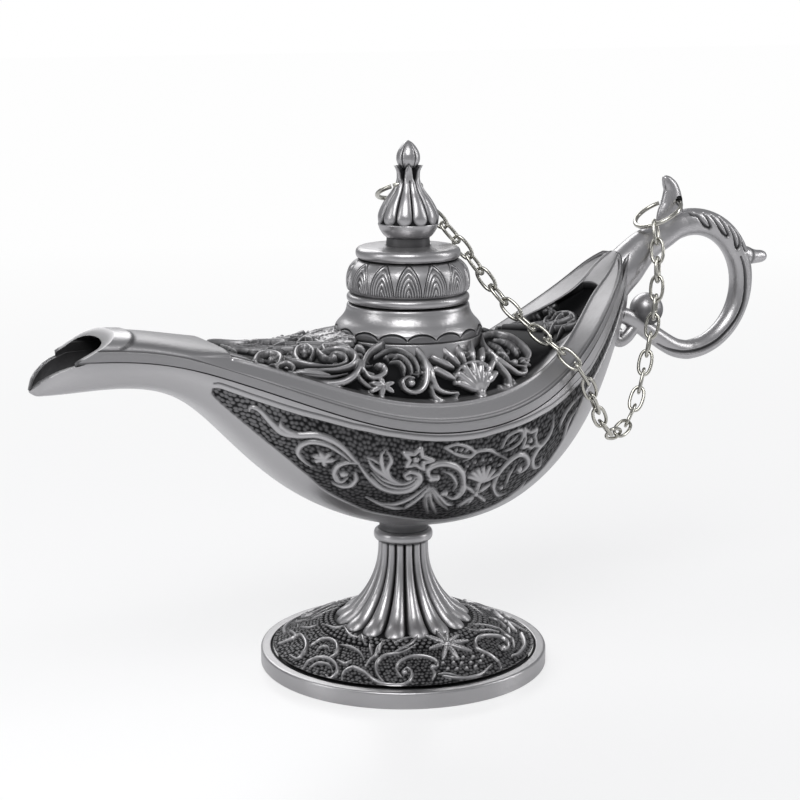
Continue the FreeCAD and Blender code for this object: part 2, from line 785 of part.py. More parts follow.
finial_rise = lid_rise + " + lid_top_height + lid_crown"
finial_base = value(finial_rise)
FINIAL_SHARES = [
    # height, radius of the ridges in bulb radii, depth of the hollows between them
    (0.000, 0.663, 0.00), (0.028, 0.663, 0.00), (0.046, 0.577, 0.00), (0.110, 0.750, 0.04),
    (0.180, 0.920, 0.08), (0.270, 1.000, 0.11), (0.330, 0.970, 0.13), (0.400, 0.840, 0.15),
    (0.459, 0.680, 0.16), (0.530, 0.455, 0.16), (0.575, 0.375, 0.14), (0.640, 0.375, 0.12),
    (0.700, 0.410, 0.14), (0.762, 0.470, 0.18), (0.768, 0.250, 0.00), (0.800, 0.345, 0.00),
    (0.840, 0.375, 0.00), (0.900, 0.310, 0.00), (0.960, 0.170, 0.00), (1.000, 0.040, 0.00),
]
finial_levels = [(h * size("finial_height"), r * size("bulb_radius"), d) for h, r, d in FINIAL_SHARES]
finial_solid = fluted_solid(finial_levels, int(size("rib_count")), finial_base, size("neck_offset"))
finial_screw_hole = Part.makeCylinder(size("lid_screw_radius") + size("screw_fit"), size("lid_screw_hole"),
                                      V(size("neck_offset"), 0, finial_base))
ring_hole = Part.makeCylinder(size("ring_hole_radius"), 2 * size("bulb_radius"),
                              V(size("neck_offset") - size("bulb_radius"), 0,
                                finial_base + size("finial_ring_height")), X_AXIS)
finial = solid_feature("finial", cut_from(finial_solid, finial_screw_hole, ring_hole))

finial_screw = turned_body("finial_screw", [
    ("0", "0 - lid_screw_head_height"),
    ("lid_screw_head_radius", "0 - lid_screw_head_height"),
    ("lid_screw_head_radius", "0"),
    ("lid_screw_radius", "0"),
    ("lid_screw_radius", "lid_screw_length"),
    ("0", "lid_screw_length"),
], finial_rise + " - lid_wall", "neck_offset")

# Handle: a tapering loop that closes on the stern, with hook, knob, scroll and spur

LOOP_END = -92.0
LOOP_STEPS = 16
LOOP_END_SHARE = 0.68
TAIL_SHARES = [
    # from the loop's centre in loop radii, share of the tube's radius
    (-0.235, -0.950, 0.670), (-0.430, -0.850, 0.660), (-0.706, -0.672, 0.640),
    (-0.958, -0.504, 0.615), (-1.160, -0.387, 0.590), (-1.290, -0.345, 0.560),
]
HOOK_SHARES = [
    # along X and Z from the hole in hook widths, share of the width, share of the thickness
    (-0.18, -1.11, 0.80, 0.90),
    (-0.22, -0.57, 1.00, 1.00),
    (-0.15, -0.07, 0.82, 1.00),
    (-0.19, 0.36, 0.58, 0.90),
    (-0.35, 0.62, 0.30, 0.70),
    (-0.49, 0.75, 0.09, 0.35),
]
KNOB_SHARES = (-0.800, -0.300)
KNOB_STEPS = 7
SCROLL_SHARES = [
    # from the loop's centre in loop radii, share of the scroll's thickness
    (-0.930, -0.500, 0.90), (-1.040, -0.570, 0.95), (-1.160, -0.690, 1.00),
    (-1.280, -0.750, 0.95), (-1.360, -0.700, 0.80), (-1.340, -0.610, 0.65), (-1.265, -0.600, 0.45),
]


def near_loop(across, up):
    """A point given from the loop's centre in loop radii."""
    return V(LOOP_X + across * size("loop_radius"), 0,
             LOOP_Z + up * size("loop_radius"))


def loop_solid():
    """The loop: rings of a slowly thinner tube, lofted round and straight on to the stern."""
    tube = size("loop_tube_radius")
    rings = []
    for step in range(LOOP_STEPS + 1):
        share = step / LOOP_STEPS
        angle = LOOP_START + (LOOP_END - LOOP_START) * share
        rings.append(tube_ring(loop_point(angle), loop_heading(angle), tube * (1 - share * (1 - LOOP_END_SHARE))))
    points = [loop_point(LOOP_END)] + [near_loop(a, b) for a, b, _ in TAIL_SHARES]
    for i, (_, _, share) in enumerate(TAIL_SHARES, start=1):
        heading = points[min(i + 1, len(points) - 1)] - points[i - 1]
        rings.append(tube_ring(points[i], heading.normalize(), share * tube))
    return faceted_solid(rings)


def hook_solid():
    """The curved hook on top of the loop: flat ellipses, bored across for the ring."""
    rings = []
    wide = size("hook_width")
    centres = [V(HOOK_X + a * wide, 0, HOOK_Z + b * wide)
               for a, b, _, _ in HOOK_SHARES]
    for i, (_, _, wide, thick) in enumerate(HOOK_SHARES):
        before, after = centres[max(i - 1, 0)], centres[min(i + 1, len(centres) - 1)]
        half = wide * size("hook_width") / 2
        flat = thick * size("hook_thickness") / 2 / half
        rings.append(tube_ring(centres[i], (after - before).normalize(), half, TUBE_SIDES, flat))
    hook = faceted_solid(rings)
    bore = Part.makeCylinder(size("hook_hole_radius"), size("rim_beam"),
                             V(HOOK_X, -size("rim_beam") / 2, HOOK_Z), Y_AXIS)
    return hook, bore


def scroll_solid():
    """The curl below the stern."""
    points = [near_loop(a, b) for a, b, _ in SCROLL_SHARES]
    return swept_solid(points, [share * size("scroll_radius") for _, _, share in SCROLL_SHARES])


def knob_solid(centre):
    """A ball between two small flats, in as many sides as the loop."""
    rings = []
    for step in range(KNOB_STEPS):
        angle = math.radians(TURN / 2 * (step + 1) / (KNOB_STEPS + 1))
        at = centre + X_AXIS * (-size("knob_radius") * math.cos(angle))
        rings.append(tube_ring(at, X_AXIS, size("knob_radius") * math.sin(angle)))
    return faceted_solid(rings)


hook, hook_bore = hook_solid()
knob_at = near_loop(*KNOB_SHARES)
knob = knob_solid(knob_at)
spur_root = loop_point(size("spur_angle"))
spur_way = loop_point(0) - loop_point(TURN / 2)
spur_way = FreeCAD.Rotation(Y_AXIS, -size("spur_tilt")).multVec(spur_way).normalize()
spur = Part.makeCone(size("spur_radius"), size("spur_radius") / 5, size("spur_length") + size("loop_tube_radius") / 2,
                     spur_root, spur_way)
handle_shape = loop_solid().fuse([hook, knob, scroll_solid(), spur])
handle_shape = cut_from(handle_shape, hook_bore, bowl_shape)
handle = solid_feature("handle", handle_shape)


# Rings and chain


RING_STEPS = 18
WIRE_SIDES = 6
LINK_WIRE_SIDES = 4
LINK_END_STEPS = 4


def wire_section(centre, outward, radius, sides):
    """A ring of points round a wire, in the plane of Z and the outward way."""
    points = []
    for step in range(sides):
        angle = math.radians(TURN * step / sides)
        points.append(centre + outward * (radius * math.cos(angle)) + Z_AXIS * (radius * math.sin(angle)))
    return points


def ring_shape(radius):
    """An open jump ring about its own Z axis, its split at +X."""
    rings = []
    sweep = TURN - size("ring_split")
    for step in range(RING_STEPS + 1):
        angle = math.radians(size("ring_split") / 2 + sweep * step / RING_STEPS)
        outward = V(math.cos(angle), math.sin(angle), 0)
        rings.append(wire_section(outward * radius, outward, size("ring_wire_radius"), WIRE_SIDES))
    return faceted_solid(rings)


def frame_at(centre, along, across):
    """A placement whose X looks along one way and whose Y lies nearest another."""
    x = V(along).normalize()
    z = x.cross(across).normalize()
    y = z.cross(x)
    matrix = FreeCAD.Matrix(x.x, y.x, z.x, centre.x, x.y, y.y, z.y, centre.y, x.z, y.z, z.z, centre.z, 0, 0, 0, 1)
    return FreeCAD.Placement(matrix)


droop = math.radians(size("finial_ring_droop"))
finial_pivot = V(neck_x, 0, value(finial_rise + " + finial_ring_height"))
finial_way = V(0, math.cos(droop), -math.sin(droop))
finial_centre = finial_pivot + finial_way * size("finial_ring_reach")
finial_ring = solid_feature("finial_ring", ring_shape(size("finial_ring_radius")),
                            frame_at(finial_centre, finial_way * -1 + X_AXIS * -1, finial_way))

droop = math.radians(size("handle_ring_droop"))
handle_pivot = V(HOOK_X, 0, HOOK_Z)
handle_way = V(-math.cos(droop), 0, -math.sin(droop))
handle_centre = handle_pivot + handle_way * size("handle_ring_radius")
handle_ring = solid_feature("handle_ring", ring_shape(size("handle_ring_radius")),
                            frame_at(handle_centre, Y_AXIS + handle_way * -1, handle_way))


def link_shape():
    """One oval link, long along X: wire sections that mitre at the corners of its centre line."""
    wire = size("link_wire_radius")
    end = size("link_width") / 2 - wire
    half = size("link_length") / 2 - wire - end
    corners = []
    for side in (1, -1):
        for step in range(LINK_END_STEPS + 1):
            angle = math.radians(TURN / 2 * (step / LINK_END_STEPS - side / 2))
            corners.append(V(side * half + end * math.cos(angle), end * math.sin(angle), 0))
    spine = Part.makePolygon(corners + [corners[0]])
    start = (corners[-1] + corners[0]) * (1 / 2)
    spine = Part.makePolygon([start] + corners + [start])
    section = wire_section(start, Y_AXIS, wire, LINK_WIRE_SIDES)
    profile = Part.makePolygon(section + [section[0]])
    return spine.makePipeShell([profile], True, False, 1)


ROUTE_SHARES = [
    # X from the neck's axis to the hook's hole, Y in beams, Z from the low rim to the finial's hole
    (0.092, 0.113, 0.889), (0.162, 0.041, 0.774), (0.222, -0.033, 0.635), (0.274, -0.121, 0.497),
    (0.325, -0.234, 0.384), (0.372, -0.351, 0.298), (0.415, -0.439, 0.213), (0.474, -0.428, 0.081),
    (0.536, -0.384, -0.059), (0.618, -0.325, -0.137), (0.699, -0.269, -0.088), (0.759, -0.229, 0.044),
    (0.804, -0.195, 0.211), (0.841, -0.166, 0.384), (0.866, -0.131, 0.558), (0.881, -0.083, 0.722),
]
curve = Part.BSplineCurve()
curve.interpolate([V(neck_x + a * (HOOK_X - neck_x), b * size("rim_beam"),
                     size("rim_low") + c * (finial_pivot.z - size("rim_low"))) for a, b, c in ROUTE_SHARES])
link_count = int(size("link_count"))
steps = curve.discretize(Number=link_count)
link = link_shape()
def wire_way(centre, normal, point):
    """The way a ring's wire runs where a link hangs on it."""
    return normal.cross(point - centre).normalize()


side = wire_way(finial_centre, X_AXIS.cross(finial_way), steps[0])
sides = []
for step in steps:
    along = curve.tangent(curve.parameter(step))[0]
    side = (side - along * side.dot(along)).normalize()
    sides.append((along, side))
across = wire_way(handle_centre, Y_AXIS.cross(handle_way), steps[-1]).cross(along)
twist = math.degrees(math.atan2(side.cross(across).dot(along), side.dot(across)))
twist = (twist + TURN / 4) % (TURN / 2) - TURN / 4
links = []
for i, (along, side) in enumerate(sides):
    side = FreeCAD.Rotation(along, twist * i / (link_count - 1)).multVec(side)
    across = side if i % 2 else side.cross(along)
    links.append(solid_feature(f"chain_link_{i + 1:02d}", link.copy(), frame_at(steps[i], along, across)))

doc.recompute()

NODES = [foot, foot_screw, foot_washer, bowl, cover, neck_collar, lid_cap, finial, finial_screw, handle]
NODES += [finial_ring, handle_ring] + links

for item in doc.Objects:
    if "Invalid" in item.State or "Error" in item.State:
        raise RuntimeError("not built: " + item.Name)
os.makedirs("parts", exist_ok=True)
for node in NODES:
    shape = node.Shape
    if shape.isNull() or not shape.isValid():
        raise RuntimeError("not a valid shape: " + node.Label)
    shape.exportStep(f"parts/{node.Label}.step")
    box = shape.BoundBox
    print(f"{node.Label:16s} solids {len(shape.Solids)} volume {shape.Volume:9.2f}  "
          f"X {box.XMin:7.2f} {box.XMax:7.2f}  Y {box.YMin:7.2f} {box.YMax:7.2f}  Z {box.ZMin:7.2f} {box.ZMax:7.2f}")
print(f"chain pitch {curve.length() / (link_count - 1):.3f}")
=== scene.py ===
import math
import bpy
import numpy as np
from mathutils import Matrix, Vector
from mathutils.bvhtree import BVHTree


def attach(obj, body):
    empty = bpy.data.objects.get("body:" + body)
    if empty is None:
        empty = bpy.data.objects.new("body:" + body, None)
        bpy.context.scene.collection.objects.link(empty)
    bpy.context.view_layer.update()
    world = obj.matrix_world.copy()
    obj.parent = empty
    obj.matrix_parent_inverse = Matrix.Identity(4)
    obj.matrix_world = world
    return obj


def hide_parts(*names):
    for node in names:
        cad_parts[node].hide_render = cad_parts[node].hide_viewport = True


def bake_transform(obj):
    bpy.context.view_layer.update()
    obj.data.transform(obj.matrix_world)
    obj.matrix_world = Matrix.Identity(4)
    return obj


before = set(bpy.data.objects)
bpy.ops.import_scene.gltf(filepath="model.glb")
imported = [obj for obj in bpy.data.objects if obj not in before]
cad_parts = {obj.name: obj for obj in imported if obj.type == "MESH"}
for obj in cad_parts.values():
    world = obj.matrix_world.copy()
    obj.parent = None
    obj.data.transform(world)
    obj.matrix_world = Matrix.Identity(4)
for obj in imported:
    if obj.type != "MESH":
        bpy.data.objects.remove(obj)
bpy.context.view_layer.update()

MM = 0.001
ROUND = 2 * math.pi

# Sizes in millimetres, as in the solids

SPOUT_REACH, STERN_REACH = 65.5, 45.5
BEAM, RIM_LOW, RIM_RISE = 40.0, 44.5, 25.0
KEEL_LOW, KEEL_RISE = 24.9, 30.0
COVER_FRONT, COVER_STERN = 59.6, 43.2
SEAM, LIP_HEIGHT, LIP_LEAN, LIP_FULL = 0.25, 1.4, 0.15, 3.0
SLANT_X, SLANT_Z, SLANT_RISE = -67.7, 55.1, 12.6 / 24.3
INNER_WALL = 1.2
NECK_X = 0.93
CONE_R, FLARE_R, FLARE_Z = 22.85, 10.3, 8.5
WAIST_R, WAIST_Z, STEM_CURVE, STEM_TOP, RIBS = 4.25, 20.7, 15.1, 21.75, 16
SCALLOPS = 16
LID_Z, PETALS = 63.6, 14
FIN_Z, FIN_H, FIN_R, FIN_RIBS, LEAVES = 72.95, 17.55, 5.2, 11, 5
LOOP_X, LOOP_Z, LOOP_R, LOOP_TUBE = 60.0, 61.6, 11.9, 2.6
HORN_ROOT, KNOB_R, CURL_R = 4.2, 3.05, 1.25
HOOK_W, HOOK_T = 5.6, 2.6
HOOK_X, HOOK_Z, HOLE_R = 56.3, 77.6, 0.95
EYE_Z = 83.3
FINIAL_RING_R, HANDLE_RING_R, RING_WIRE, RING_SPLIT = 3.75, 4.4, 0.40, 7
LINKS, LINK_LENGTH, LINK_WIDTH, LINK_WIRE = 30, 5.0, 2.8, 0.3
FINIAL_DROOP, FINIAL_DROP, HANDLE_DROOP = math.radians(25.0), 3.48, math.radians(29.4)

# Sections of the bowl: share of its length, of half its beam, of the keel's rise and of the rim's rise
HULL = np.array([
    (0.000, 0.060, 0.960, 0.588), (0.014, 0.180, 0.957, 0.588), (0.050, 0.285, 0.957, 0.588),
    (0.122, 0.350, 0.970, 0.584), (0.194, 0.445, 0.933, 0.536), (0.257, 0.575, 0.777, 0.440),
    (0.320, 0.710, 0.520, 0.332), (0.392, 0.845, 0.270, 0.204), (0.473, 0.950, 0.105, 0.076),
    (0.563, 1.000, 0.000, 0.000), (0.662, 0.995, -0.022, 0.008), (0.752, 0.925, 0.040, 0.116),
    (0.833, 0.760, 0.210, 0.324), (0.887, 0.595, 0.390, 0.520), (0.923, 0.455, 0.563, 0.664),
    (0.950, 0.350, 0.743, 0.788), (0.977, 0.210, 0.910, 0.924), (1.000, 0.080, 1.090, 1.004)])
# Sections of the cover: share of its length, of half its beam, of the seam's rise, of its own width at
# the deck's edge, and the heights of edge and crest over the seam
COVER = np.array([
    (0.000, 0.295, 0.588, 0.54, 0.124, 0.164), (0.074, 0.350, 0.584, 0.57, 0.132, 0.172),
    (0.152, 0.445, 0.536, 0.63, 0.128, 0.168), (0.220, 0.575, 0.440, 0.71, 0.148, 0.196),
    (0.288, 0.710, 0.332, 0.77, 0.164, 0.230), (0.366, 0.845, 0.204, 0.80, 0.176, 0.350),
    (0.453, 0.950, 0.076, 0.83, 0.180, 0.520), (0.551, 1.000, 0.000, 0.835, 0.180, 0.615),
    (0.658, 0.995, 0.008, 0.834, 0.180, 0.607), (0.755, 0.925, 0.116, 0.80, 0.176, 0.430),
    (0.842, 0.760, 0.324, 0.63, 0.124, 0.160), (0.901, 0.595, 0.520, 0.42, 0.080, 0.030),
    (0.940, 0.455, 0.664, 0.26, 0.064, 0.050), (0.969, 0.360, 0.788, 0.35, 0.056, 0.066),
    (0.988, 0.230, 0.888, 0.38, 0.046, 0.056), (1.000, 0.070, 0.944, 0.43, 0.040, 0.046)])


# Helpers


def basis(count, samples):
    """Weights of the poles of a clamped cubic spline at evenly spaced places."""
    knots = np.concatenate([[0, 0, 0], np.arange(count - 2), [count - 3] * 3]).astype(float)
    t = np.linspace(0, count - 3 - 1e-9, samples)
    level = [((knots[i] <= t) & (t < knots[i + 1])).astype(float) for i in range(len(knots) - 1)]
    for degree in (1, 2, 3):
        following = []
        for i in range(len(knots) - degree - 1):
            left = knots[i + degree] - knots[i]
            right = knots[i + degree + 1] - knots[i + 1]
            total = np.zeros_like(t)
            if left:
                total += (t - knots[i]) / left * level[i]
            if right:
                total += (knots[i + degree + 1] - t) / right * level[i + 1]
            following.append(total)
        level = following
    return np.array(level).T


def arch(half, rise, side_power, crown_power, angles):
    """Sideways and upward places along a rounded arch; the powers square off its sides and crown."""
    c, s = np.cos(angles), np.sin(angles)
    across = half * np.sign(c) * np.abs(c) ** (2 / side_power)
    up = rise * np.abs(s) ** (2 / crown_power)
    return across, up


def smoothstep(x):
    """Eases from 0 to 1 as x goes from 0 to 1."""
    x = np.clip(x, 0, 1)
    return x * x * (3 - 2 * x)


def ridge(offset, width):
    """One on a line, falling off smoothly on both sides of it."""
    return np.exp(-(offset / width) ** 2)


def new_mesh(name, points, faces, tone):
    """A smooth-shaded object from points in millimetres, with the tone that its finish reads."""
    mesh = bpy.data.meshes.new(name)
    points = np.asarray(points, float) * MM
    mesh.vertices.add(len(points))
    mesh.vertices.foreach_set("co", points.ravel())
    faces = np.asarray(faces, np.int32)
    mesh.loops.add(faces.size)
    mesh.loops.foreach_set("vertex_index", faces.ravel())
    mesh.polygons.add(len(faces))
    mesh.polygons.foreach_set("loop_start", np.arange(0, faces.size, faces.shape[1], dtype=np.int32))
    mesh.polygons.foreach_set("use_smooth", np.ones(len(faces), bool))
    mesh.update(calc_edges=True)
    mesh.validate()
    layer = mesh.attributes.new("tone", "FLOAT", "POINT")
    layer.data.foreach_set("value", np.asarray(tone, float))
    obj = bpy.data.objects.new(name, mesh)
    bpy.context.collection.objects.link(obj)
    return obj


def grid_faces(rows, columns, loop=False, flip=False):
    """Quads of a grid of points, row by row; loop closes each row on itself."""
    r = np.arange(rows - 1)[:, None]
    c = np.arange(columns if loop else columns - 1)[None, :]
    d = (c + 1) % columns
    corners = (r * columns + c, r * columns + d, (r + 1) * columns + d, (r + 1) * columns + c)
    quads = np.stack(np.broadcast_arrays(*corners), -1).reshape(-1, 4)
    return quads[:, ::-1] if flip else quads


def outward_normals(grid, loop=False):
    """Unit normals of a grid of points, away from the middle of its rows."""
    across = (np.roll(grid, -1, 1) - np.roll(grid, 1, 1)) / 2 if loop else np.gradient(grid, axis=1)
    normals = np.cross(np.gradient(grid, axis=0), across)
    normals /= np.linalg.norm(normals, axis=2, keepdims=True) + 1e-12
    inward = np.mean(np.sum(normals * (grid - grid.mean(1, keepdims=True)), 2)) < 0
    return -normals if inward else normals


def row_girth(grid):
    """Distance of each place from the nearer end of its row, along the row."""
    steps = np.linalg.norm(np.diff(grid, axis=1), axis=2)
    girth = np.concatenate([np.zeros((len(grid), 1)), np.cumsum(steps, 1)], 1)
    return np.minimum(girth, girth[:, -1:] - girth)


def near_side(grid):
    """The places folded over to the side that the photograph shows."""
    folded = grid.copy()
    folded[..., 1] = -np.abs(folded[..., 1])
    return folded


class Sheet:
    """Collects grids and turns them into one mesh with a tone for each point."""

    def __init__(self):
        self.points, self.faces, self.tones, self.count = [], [], [], 0

    def add(self, grid, tone=1.0, loop=False, flip=False, gone=None):
        """Adds a grid and returns the number of its first point; gone picks faces to leave out."""
        rows, columns = grid.shape[:2]
        places = grid.reshape(-1, 3)
        faces = grid_faces(rows, columns, loop, flip)
        if gone is not None:
            faces = faces[~gone(faces, places[faces].mean(1))]
        start = self.count
        self.faces.append(faces + start)
        self.points.append(places)
        self.tones.append(np.broadcast_to(tone, (rows, columns)).ravel())
        self.count += rows * columns
        return start

    def cap(self, ring):
        """Closes a ring of points with a fan of slim quads to its middle."""
        middle = ring.mean(0)
        self.add(np.stack([ring, ring * 0.5 + middle * 0.5, ring * 0.02 + middle * 0.98]), 1.0, True)

    def build(self, name):
        """The object made of all grids added so far."""
        parts = (self.points, self.faces, self.tones)
        return new_mesh(name, *(np.concatenate(part) for part in parts))


# The photograph's camera, used to place ornament that was read off the picture

FRAME = 800
VIEW_TURN, VIEW_DIP = math.radians(28.5), 0.216
VIEW_FROM = np.array([-148.44, -273.40, 114.6])
VIEW_FOCAL, VIEW_X, VIEW_Y = 1860.2, 403.25, 400.0
VIEW_AHEAD = np.array([math.sin(VIEW_TURN) * math.cos(VIEW_DIP), math.cos(VIEW_TURN) * math.cos(VIEW_DIP),
                       -math.sin(VIEW_DIP)])
VIEW_RIGHT = np.array([math.cos(VIEW_TURN), -math.sin(VIEW_TURN), 0])
VIEW_UP = np.cross(VIEW_RIGHT, VIEW_AHEAD)


def surface_tree(grid, loop=False):
    """The grid's faces as a tree, for rays and nearest places."""
    rows, columns = grid.shape[:2]
    return BVHTree.FromPolygons([tuple(p) for p in grid.reshape(-1, 3)],
                                [tuple(int(i) for i in f) for f in grid_faces(rows, columns, loop)])


def rounded(points, per=6):
    """More points on a smooth curve through the given ones."""
    p = np.asarray(points, float)
    if len(p) < 3:
        t = np.linspace(0, 1, per + 1)[:, None]
        return p[0] * (1 - t) + p[-1] * t
    q = np.concatenate([[2 * p[0] - p[1]], p, [2 * p[-1] - p[-2]]])
    out = []
    for i in range(1, len(q) - 2):
        t = np.linspace(0, 1, per, endpoint=False)[:, None]
        a, b, c, d = q[i - 1], q[i], q[i + 1], q[i + 2]
        out.append(0.5 * (2 * b + (c - a) * t + (2 * a - 5 * b + 4 * c - d) * t ** 2
                          + (3 * b - a - 3 * c + d) * t ** 3))
    out.append(q[-2][None])
    return np.concatenate(out)


def seen(tree, pixels):
    """Points of the surface seen at pixels of the photograph."""
    out = []
    for x, y in pixels:
        ray = VIEW_AHEAD + VIEW_RIGHT * (x - VIEW_X) / VIEW_FOCAL - VIEW_UP * (y - VIEW_Y) / VIEW_FOCAL
        hit = tree.ray_cast(Vector(VIEW_FROM), Vector(ray).normalized())[0]
        if hit is not None:
            out.append(tuple(hit))
    return np.array(out).reshape(-1, 3)


class Relief:
    """Raised strokes on a surface: lines through points in space with a width and a height along them."""

    def __init__(self):
        self.strokes = []

    def line(self, points, width, height, taper, grooved=False):
        """Adds a stroke; taper is the share of its width that is left at either end."""
        if len(points) < 2:
            return
        points = np.asarray(points, float)
        along = np.linspace(0, 1, len(points))
        ends = np.minimum(taper[0] + (1 - taper[0]) * np.minimum(1, along * 3),
                          taper[1] + (1 - taper[1]) * np.minimum(1, (1 - along) * 3))
        self.strokes.append((points, width * ends, height * (0.5 + 0.5 * ends), grooved))

    def ball(self, point, width, height):
        """A round bead, kept as a very short line."""
        if len(point):
            points = np.concatenate([point, point + 1e-4])
            self.strokes.append((points, np.full(2, width), np.full(2, height), False))

    def height(self, grid):
        """Height of the strokes at each place of a grid."""
        places = grid.reshape(-1, 3)
        total = np.zeros(len(places))
        for points, widths, heights, grooved in self.strokes:
            reach = widths.max()
            low, high = points.min(0) - reach, points.max(0) + reach
            near = np.nonzero(np.all((places > low) & (places < high), axis=1))[0]
            if not len(near):
                continue
            q = places[near]
            best = np.zeros(len(near))
            for i in range(len(points) - 1):
                a, d = points[i], points[i + 1] - points[i]
                t = np.clip((q - a) @ d / (d @ d + 1e-12), 0, 1)
                gap = np.linalg.norm(q - a - t[:, None] * d, axis=1)
                x = gap / (widths[i] + t * (widths[i + 1] - widths[i]) + 1e-9)
                h = heights[i] + t * (heights[i + 1] - heights[i])
                if grooved:
                    value = h * np.clip(1 - x ** 4, 0, 1) ** 0.5 * (1 - 0.45 * ridge(x, 0.28))
                else:
                    value = h * np.sqrt(np.clip(1 - x * x, 0, 1))
                best = np.maximum(best, np.where(x < 1, value, 0))
            total[near] = np.maximum(total[near], best)
        return total.reshape(grid.shape[:-1])


def halfway(a, b):
    """The pixel in the middle between two."""
    return (a[0] + b[0]) / 2, (a[1] + b[1]) / 2


class Pencil:
    """Draws on a surface with strokes given in the pixels of an enlarged part of the photograph."""

    def __init__(self, tree, relief, corner, scale):
        self.tree, self.relief, self.corner, self.scale = tree, relief, corner, scale

    def places(self, points, per=0):
        """Places under the points, on a smooth curve with per steps from point to point."""
        left, top = self.corner
        pixels = [(left + x / self.scale, top + y / self.scale) for x, y in points]
        return seen(self.tree, rounded(pixels, per) if per else pixels)

    def line(self, points, width, height, taper=(0.35, 0.35), grooved=False, per=6):
        """A stroke; where it would leap to a far part of the surface it breaks off."""
        places = self.places(points, per)
        leaps = np.nonzero(np.linalg.norm(np.diff(places, axis=0), axis=1) > 3.0)[0] + 1
        for run in np.split(places, leaps):
            self.relief.line(run, width, height, taper, grooved)

    def dot(self, point, width, height):
        """A round bead."""
        self.relief.ball(self.places([point]), width, height)

    def strokes(self, many, taper=(0.35, 0.35), per=6):
        """Strokes of points, width, height and maybe a taper of their own; one point alone is a dot."""
        for points, width, height, *own in many:
            if len(points) == 1:
                self.dot(points[0], width, height)
            else:
                self.line(points, width, height, own[0] if own else taper, per=per)

    def fan(self, root, tips, width, height, taper):
        """Strokes from one root to several tips."""
        for tip in tips:
            self.line([root, tip], width, height, taper)

    def flower(self, centre, tips, width, height, ball=None):
        """Petals that swell from the flower's centre towards their tips."""
        for tip in tips:
            middle = (centre[0] * 0.4 + tip[0] * 0.6, centre[1] * 0.4 + tip[1] * 0.6)
            self.relief.line(self.places([centre, middle, tip], 4), width, height, (0.35, 0.7), True)
        self.dot(centre, ball or width * 1.2, height * 1.25)

    def star(self, centre, tips, dent, width, height):
        """A star's outline with hollow sides and a ball at its middle."""
        corners = []
        for i, tip in enumerate(tips):
            half = halfway(tip, tips[(i + 1) % len(tips)])
            hollow = (half[0] + (centre[0] - half[0]) * dent, half[1] + (centre[1] - half[1]) * dent)
            corners += [tip, hollow]
        for a, b in zip(corners, corners[1:] + corners[:1]):
            self.relief.line(self.places([a, b], 3), width, height, (0.9, 0.9))
        self.dot(centre, width * 1.5, height * 1.1)


def hashed(i, j, seed):
    """Steady scatter from 0 to 1 for whole numbers."""
    n = (i * 374761393 + j * 668265263 + seed * 1442695041) & 0xFFFFFFFF
    n = ((n ^ (n >> 13)) * 1274126177) & 0xFFFFFFFF
    return ((n ^ (n >> 16)) & 0xFFFF) / 65535.0


def pebbles(a, b, size, seed=1):
    """Height from 0 to 1 of round grains packed over a plane."""
    a, b = a / size, b / size
    ia, ib = np.floor(a).astype(np.int64), np.floor(b).astype(np.int64)
    nearest = np.full(a.shape, 9.0)
    for i in (-1, 0, 1):
        for j in (-1, 0, 1):
            ca, cb = ia + i, ib + j
            pa = ca + 0.5 + 0.5 * (hashed(ca, cb, seed) - 0.5) + 0.5 * (cb % 2)
            pb = cb + 0.5 + 0.5 * (hashed(ca, cb, seed + 7) - 0.5)
            nearest = np.minimum(nearest, np.hypot(a - pa, b - pb))
    return np.sqrt(np.clip(1 - (nearest / 0.56) ** 2, 0, 1))


# Bowl: outside and inside grids, cut to the spout's mouth, with its recessed panel

BOWL_ROWS, BOWL_COLUMNS = 620, 361
MOUTH_X = [-66.6, -65.6, -64.4, -63.2, -61.9, -60.4, -58.9, -57.6, -56.0]
MOUTH_Z = [53.6, 54.6, 56.1, 57.1, 57.9, 58.5, 58.85, 59.25, 60.5]
TIP_X, TIP_ROUND_X = -56.5, -64.2
PANEL_DEPTH, PANEL_END_X, FINE_LINE_X, GRAIN = -0.42, 43.0, -46, 0.85
COPY_AXIS_X, COPY_SCALE, COPY_SLOPE, COPY_RISE, COPY_FROM_X = 22.0, 0.62, 0.12, 4.0, 24

# Pixels of the photograph along the panel's upper and lower edge
PANEL_TOP = [(213, 389), (222, 389.5), (251, 400), (302, 416), (353, 429.5), (400, 438.5), (437, 442),
             (465, 440.5), (495, 434.5), (533, 420.5), (559, 404.5), (580, 383.5), (590, 372)]
PANEL_LOW = [(211, 394), (221, 404.5), (251, 430), (282, 455), (306, 475), (328, 493), (363, 510), (388, 516),
             (430, 521), (463, 517), (496, 505), (530, 482), (552, 458), (570, 428), (586, 392)]

